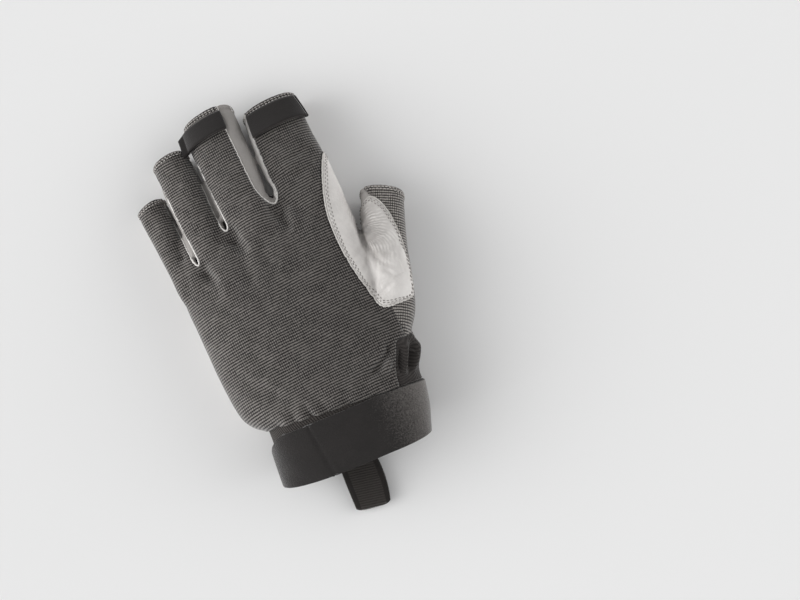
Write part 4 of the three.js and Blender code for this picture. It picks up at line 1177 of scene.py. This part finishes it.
outer_band, inner_band = band_rings(), band_rings(BAND_THICK)
shape = new_shape()
rows, count = outer_band.shape[:2]
number = np.arange(rows * count).reshape(rows, count)
faces = [(number[i, k], number[i, (k + 1) % count], number[i + 1, (k + 1) % count], number[i + 1, k])
         for i in range(rows - 1) for k in range(count)]
put(shape, outer_band.reshape(-1, 3), [f[::-1] for f in faces], SKIN)
put(shape, inner_band.reshape(-1, 3), faces, LINING_AND_SHADE)
for end, order in ((0, 1), (rows - 1, -1)):
    mid = (outer_band[end] + inner_band[end]) / 2 + np.array([0, 0.5 * order, 0])
    faces = []
    for k in range(count):
        after = (k + 1) % count
        for a, b in ((k, after), (k + count, after + count)):
            faces.append((a, b, b + count, a + count)[::order])
    put(shape, np.concatenate([outer_band[end], mid, inner_band[end]]), faces, SKIN)
# Ribs of covered rubber, 1.7 mm apart: matt black with a fine regular relief
band_cloth = plain_cloth("woven elastic of the wristband", "#171413", "#4a4643", scale=900.0, depth=0.0004,
                         ribs=(0.0017, 1.0, 0.35, 1.0))
made_from(shape, "wristband_woven", [band_cloth, lining_and_painted_shade, band_cloth, thread], "wristband")

# CLOSURE STRAP
# Hook-and-loop strap: a napped face on a firm backing, sewn on the thumb side, drawn over the back of the
# wrist and pressed down, with its free corner rounded off.

GAP = 0.3                           # air between two pieces


def at_rings(rings, row_at, point_at):
    """A point on a run of rings, at a share of a row and of a ring point."""
    count = len(rings[0])
    i = int(min(max(math.floor(row_at), 0), len(rings) - 2))
    k = math.floor(point_at)
    near = rings[i][k % count] + (rings[i][(k + 1) % count] - rings[i][k % count]) * (point_at - k)
    far = rings[i + 1][k % count] + (rings[i + 1][(k + 1) % count] - rings[i + 1][k % count]) * (point_at - k)
    return near + (far - near) * (row_at - i)


def off_rings(rings, row_at, point_at):
    """The direction straight off the rings at a point."""
    along = at_rings(rings, row_at + 0.2, point_at) - at_rings(rings, row_at - 0.2, point_at)
    round_it = at_rings(rings, row_at, point_at + 0.9) - at_rings(rings, row_at, point_at - 0.9)
    away = np.cross(along, round_it)
    away /= max(np.linalg.norm(away), 1e-9)
    middle = np.mean(rings[int(round(min(max(row_at, 0), len(rings) - 1)))], axis=0)
    return away if (at_rings(rings, row_at, point_at) - middle) @ away > 0 else -away


FACE, BOUND = 0, 1                  # numbers of a strip's materials


def slab(grid, thick, selvedge=0):
    """The shape of a strip with rounded edges about a grid of points; bound in the second material are its
    edges, and as many rows of its face on each side as the selvedge takes."""
    grid = np.asarray(grid, float)
    rows, columns = grid.shape[:2]
    u = np.gradient(grid, axis=0)
    v = np.gradient(grid, axis=1)
    off = np.cross(u, v)
    off /= np.maximum(np.linalg.norm(off, axis=2), 1e-9)[:, :, None]
    thick = np.broadcast_to(thick, grid.shape[:2])[:, :, None]
    top, low = (grid + off * thick / 2).reshape(-1, 3), (grid - off * thick / 2).reshape(-1, 3)
    number = np.arange(rows * columns).reshape(rows, columns)
    faces = []
    for i in range(rows - 1):
        for j in range(columns - 1):
            faces.append((number[i, j], number[i + 1, j], number[i + 1, j + 1], number[i, j + 1]))
    round_edge = ([(i, 0) for i in range(rows)] + [(rows - 1, j) for j in range(1, columns)]
                  + [(i, columns - 1) for i in range(rows - 2, -1, -1)]
                  + [(0, j) for j in range(columns - 2, 0, -1)])
    heart = []
    for i, j in round_edge:
        out = np.zeros(3)
        if i in (0, rows - 1):
            out += (grid[0, j] - grid[1, j]) if i == 0 else (grid[-1, j] - grid[-2, j])
            out /= max(np.linalg.norm(out), 1e-9)
        if j in (0, columns - 1):
            side = (grid[i, 0] - grid[i, 1]) if j == 0 else (grid[i, -1] - grid[i, -2])
            out += side / max(np.linalg.norm(side), 1e-9)
        heart.append(grid[i, j] + 0.4 * thick[i, j] * out / max(np.linalg.norm(out), 1e-9))
    n, m = rows * columns, len(round_edge)
    shape = new_shape()
    put(shape, np.concatenate([top, low, heart]), faces, FACE)
    woven = [BOUND if min(i, rows - 2 - i) < selvedge else FACE for i in range(rows - 1)
             for j in range(columns - 1)]
    ring = [number[i, j] for i, j in round_edge]
    more = [tuple(f[k] + n for k in (3, 2, 1, 0)) for f in faces]
    rims = []
    for k in range(m):
        a, b, c, d = ring[k], ring[(k + 1) % m], 2 * n + (k + 1) % m, 2 * n + k
        rims += [(b, a, d, c), (c, d, a + n, b + n)]
    shape["faces"] += [tuple(int(q) for q in f) for f in more + rims]
    shape["kinds"] = woven + woven + [BOUND] * len(rims)
    return shape


# share of the band's length, free end as a number of ring points
STRAP_ROWS = np.array([(0.205, 17.2), (0.219, 18.1), (0.234, 18.55), (0.262, 19.2), (0.291, 19.7),
                       (0.319, 20.3), (0.376, 21.1), (0.434, 21.9), (0.52, 22.6), (0.66, 23.0),
                       (0.82, 23.2), (0.97, 23.1), (1.01, 22.8), (1.03, 22.2)])
STRAP_START = -2.0                  # ring point of the sewn end
STRAP_THICK = 1.8
SEWN_LINE, SEWN_HALF = -26, 0.7     # x of the stitched line across the strap, and its half width
grid, thickness = [], []
for share, free in through(STRAP_ROWS, 4):
    line, thick = [], []
    for j in np.linspace(STRAP_START, free, 110):
        lower = max(0.0, 1 - j / 9) * (0.085 * (1 - share) + 0.055 * share)
        row_at = (share + lower) * (len(outer_band) - 1)
        away = off_rings(outer_band, row_at, j * FINE)
        ruffle = 0.22 * math.sin(j * 1.1 + share * 3) * math.sin(share * 4.2 - 0.6)
        p = at_rings(outer_band, row_at, j * FINE)
        seam = math.exp(-((p[0] - SEWN_LINE + 0.05 * (p[1] + 62)) / SEWN_HALF) ** 2) * (p[2] > 17)
        line.append(p + away * (2.2 * GAP + STRAP_THICK / 2 + ruffle - 0.3 * seam))
        thick.append(STRAP_THICK - 0.4 * seam)
    grid.append(line)
    thickness.append(thick)
# Loop fabric, brushed: black velvet, paler grey towards the sewn end on the thumb side as painted sheen, in
# tufts of grey fluff
nap = plain_cloth("napped loop fabric of the strap", "#080706", "#2a2625", scale=1900.0, depth=0.00022,
                  sheen=0.6, sheen_and_rubbed=(-0.006, 0.036, "#6c6865"))
# Folded tape over the cut sides: plainer and a little greyer than the nap
strap_edge = plain_cloth("bound edge of the strap", "#161413", "#2c2927", scale=1200.0)
made_from(slab(grid, thickness), "closure_strap_napped", [nap, strap_edge], "closure_strap")

# PULL TABS
# Strips of microfibre suede folded double over the backs of the middle and the index fingertip, sewn down at
# one end; the fold stands off the side of the finger, to be gripped when the glove is taken off.

# finger, the rows of its table between which the tab lies, ring points where it is sewn down and where it
# folds, how far the fold stands off
TABS = {
    "middle_pull_tab": ("middle", 5.24, 6.42, 3.1, 8.7, 4.4),
    "index_pull_tab": ("index", 4.66, 5.71, 8.2, 1.4, 1.2),
}
TAB_THICK, TAB_CLEAR = 1.1, 0.45    # one layer, and the air between the two
TAB_DROOP = 0.05                    # how much of the finger's slope the fold keeps
DIGIT_POINTS = 22                   # ring points round a finger
# Microfibre, sanded: a black that eats the light, with a breath of sheen at its turns
suede = plain_cloth("microfibre suede of the pull tabs", "#0c0a0a", "#252120", scale=1900.0, depth=0.00015,
                    sheen=0.7)
# Cut with a knife: the core of the cloth shows a shade lighter
suede_edge = plain_cloth("cut edge of the pull tabs", "#1d1a1a", "#35312f")
for name, (finger, first, last, sewn, fold_at, stand_off) in TABS.items():
    roll, digit_rows = DIGITS[finger]
    rings = [digit_ring(row, roll, DIGIT_POINTS * FINE) for row in through(digit_rows, FINGER_STEPS)]
    grid = []
    for row_at in np.linspace(first, last, 13) * FINGER_STEPS:
        low, high = [], []
        drawn_in = 0.8 * (row_at / FINGER_STEPS - first) / (last - first) if finger == "index" else 0.0
        for at in np.linspace(sewn, fold_at + drawn_in, 34) * FINE:
            away = off_rings(rings, row_at, at)
            p = at_rings(rings, row_at, at)
            low.append(p + away * (2 * GAP + TAB_THICK / 2))
            high.insert(0, p + away * (2 * GAP + 1.5 * TAB_THICK + TAB_CLEAR))
        out = low[-1] - low[-2]
        out[2] *= TAB_DROOP
        out /= np.linalg.norm(out)
        up = (high[0] - low[-1]) / np.linalg.norm(high[0] - low[-1])
        bulge = (TAB_THICK + TAB_CLEAR) / 2
        reach = stand_off - bulge
        fold = [low[-1] + out * reach * t for t in (0.25, 0.5, 0.75, 1)]
        fold += [low[-1] + out * (reach + bulge * math.sin(t)) + up * bulge * (1 - math.cos(t))
                 for t in (0.5, 1.05, 1.57, 2.1, 2.64)]
        fold += [high[0] + out * reach * t for t in (1, 0.75, 0.5, 0.25)]
        grid.append(low + fold + high)
    made_from(slab(grid, TAB_THICK), name + "_suede", [suede, suede_edge], name)

# PULL LOOP
# A length of woven webbing folded double and sewn into the cuff under the palm, to pull the glove on and to
# hang it from a harness.

LOOP_X, WEB_WIDTH, WEB_THICK = -11.9, 19.6, 1.4
CUFF_END, LOOP_REACH = -90.0, 31.0  # y of the cuff, and how far the loop stands out of it
LOW = WEB_THICK / 2                 # height of the lower layer's middle
BAND_WALL = 1.6                     # the band that both layers hold between them
HIGH = LOW + (WEB_THICK + GAP + BAND_WALL + GAP)
LOOP_END = CUFF_END - LOOP_REACH
HALFWAY = CUFF_END - 0.55 * LOOP_REACH
# y and height of the webbing's middle, from its lower end round the fold to its upper end
loop_path = np.array([
    (-60.2, LOW), (-76, LOW), (CUFF_END - 1, LOW), (HALFWAY, LOW), (LOOP_END + 1.2, LOW),
    (LOOP_END, LOW + 0.35 * (HIGH - LOW)), (LOOP_END, LOW + 0.7 * (HIGH - LOW)),
    (LOOP_END + 1.2, HIGH), (HALFWAY, HIGH), (CUFF_END - 1, HIGH), (CUFF_END + 12, HIGH)])
path = np.column_stack([loop_path, np.zeros(len(loop_path))])
path = np.concatenate([path[:4], through(path[3:9], 6)[1:-1], path[8:]])
path = even(path, 0.9)
grid = []
for side in np.linspace(-0.5, 0.5, 17):
    line = []
    for y, z, _ in path:
        out = max(0.0, (CUFF_END - y) / LOOP_REACH)
        wide = WEB_WIDTH + 1.8 * math.sin(math.pi * min(out, 1)) - 1.0 * out
        corner = 1.6 * abs(2 * side) ** 5 * out ** 6
        line.append((LOOP_X - 2.9 * out * out + side * wide, y + corner - 3.6 * side * out, z))
    grid.append(line)
# Woven webbing, ribs 1.4 mm apart: dark and slightly silky, with plain firm selvedges
web = plain_cloth("woven webbing of the pull loop", "#15120f", "#3e3a37", scale=1000.0, depth=0.0003,
                  sheen=0.4, ribs=(0.0014, 0.25, 1.0, 0.0))
# Woven tighter: smooth and darker than the ribs
web_edge = plain_cloth("webbing selvedge", "#151312", "#2c2826")
made_from(slab(grid, WEB_THICK, selvedge=2), "pull_loop_webbing", [web, web_edge], "pull_loop")
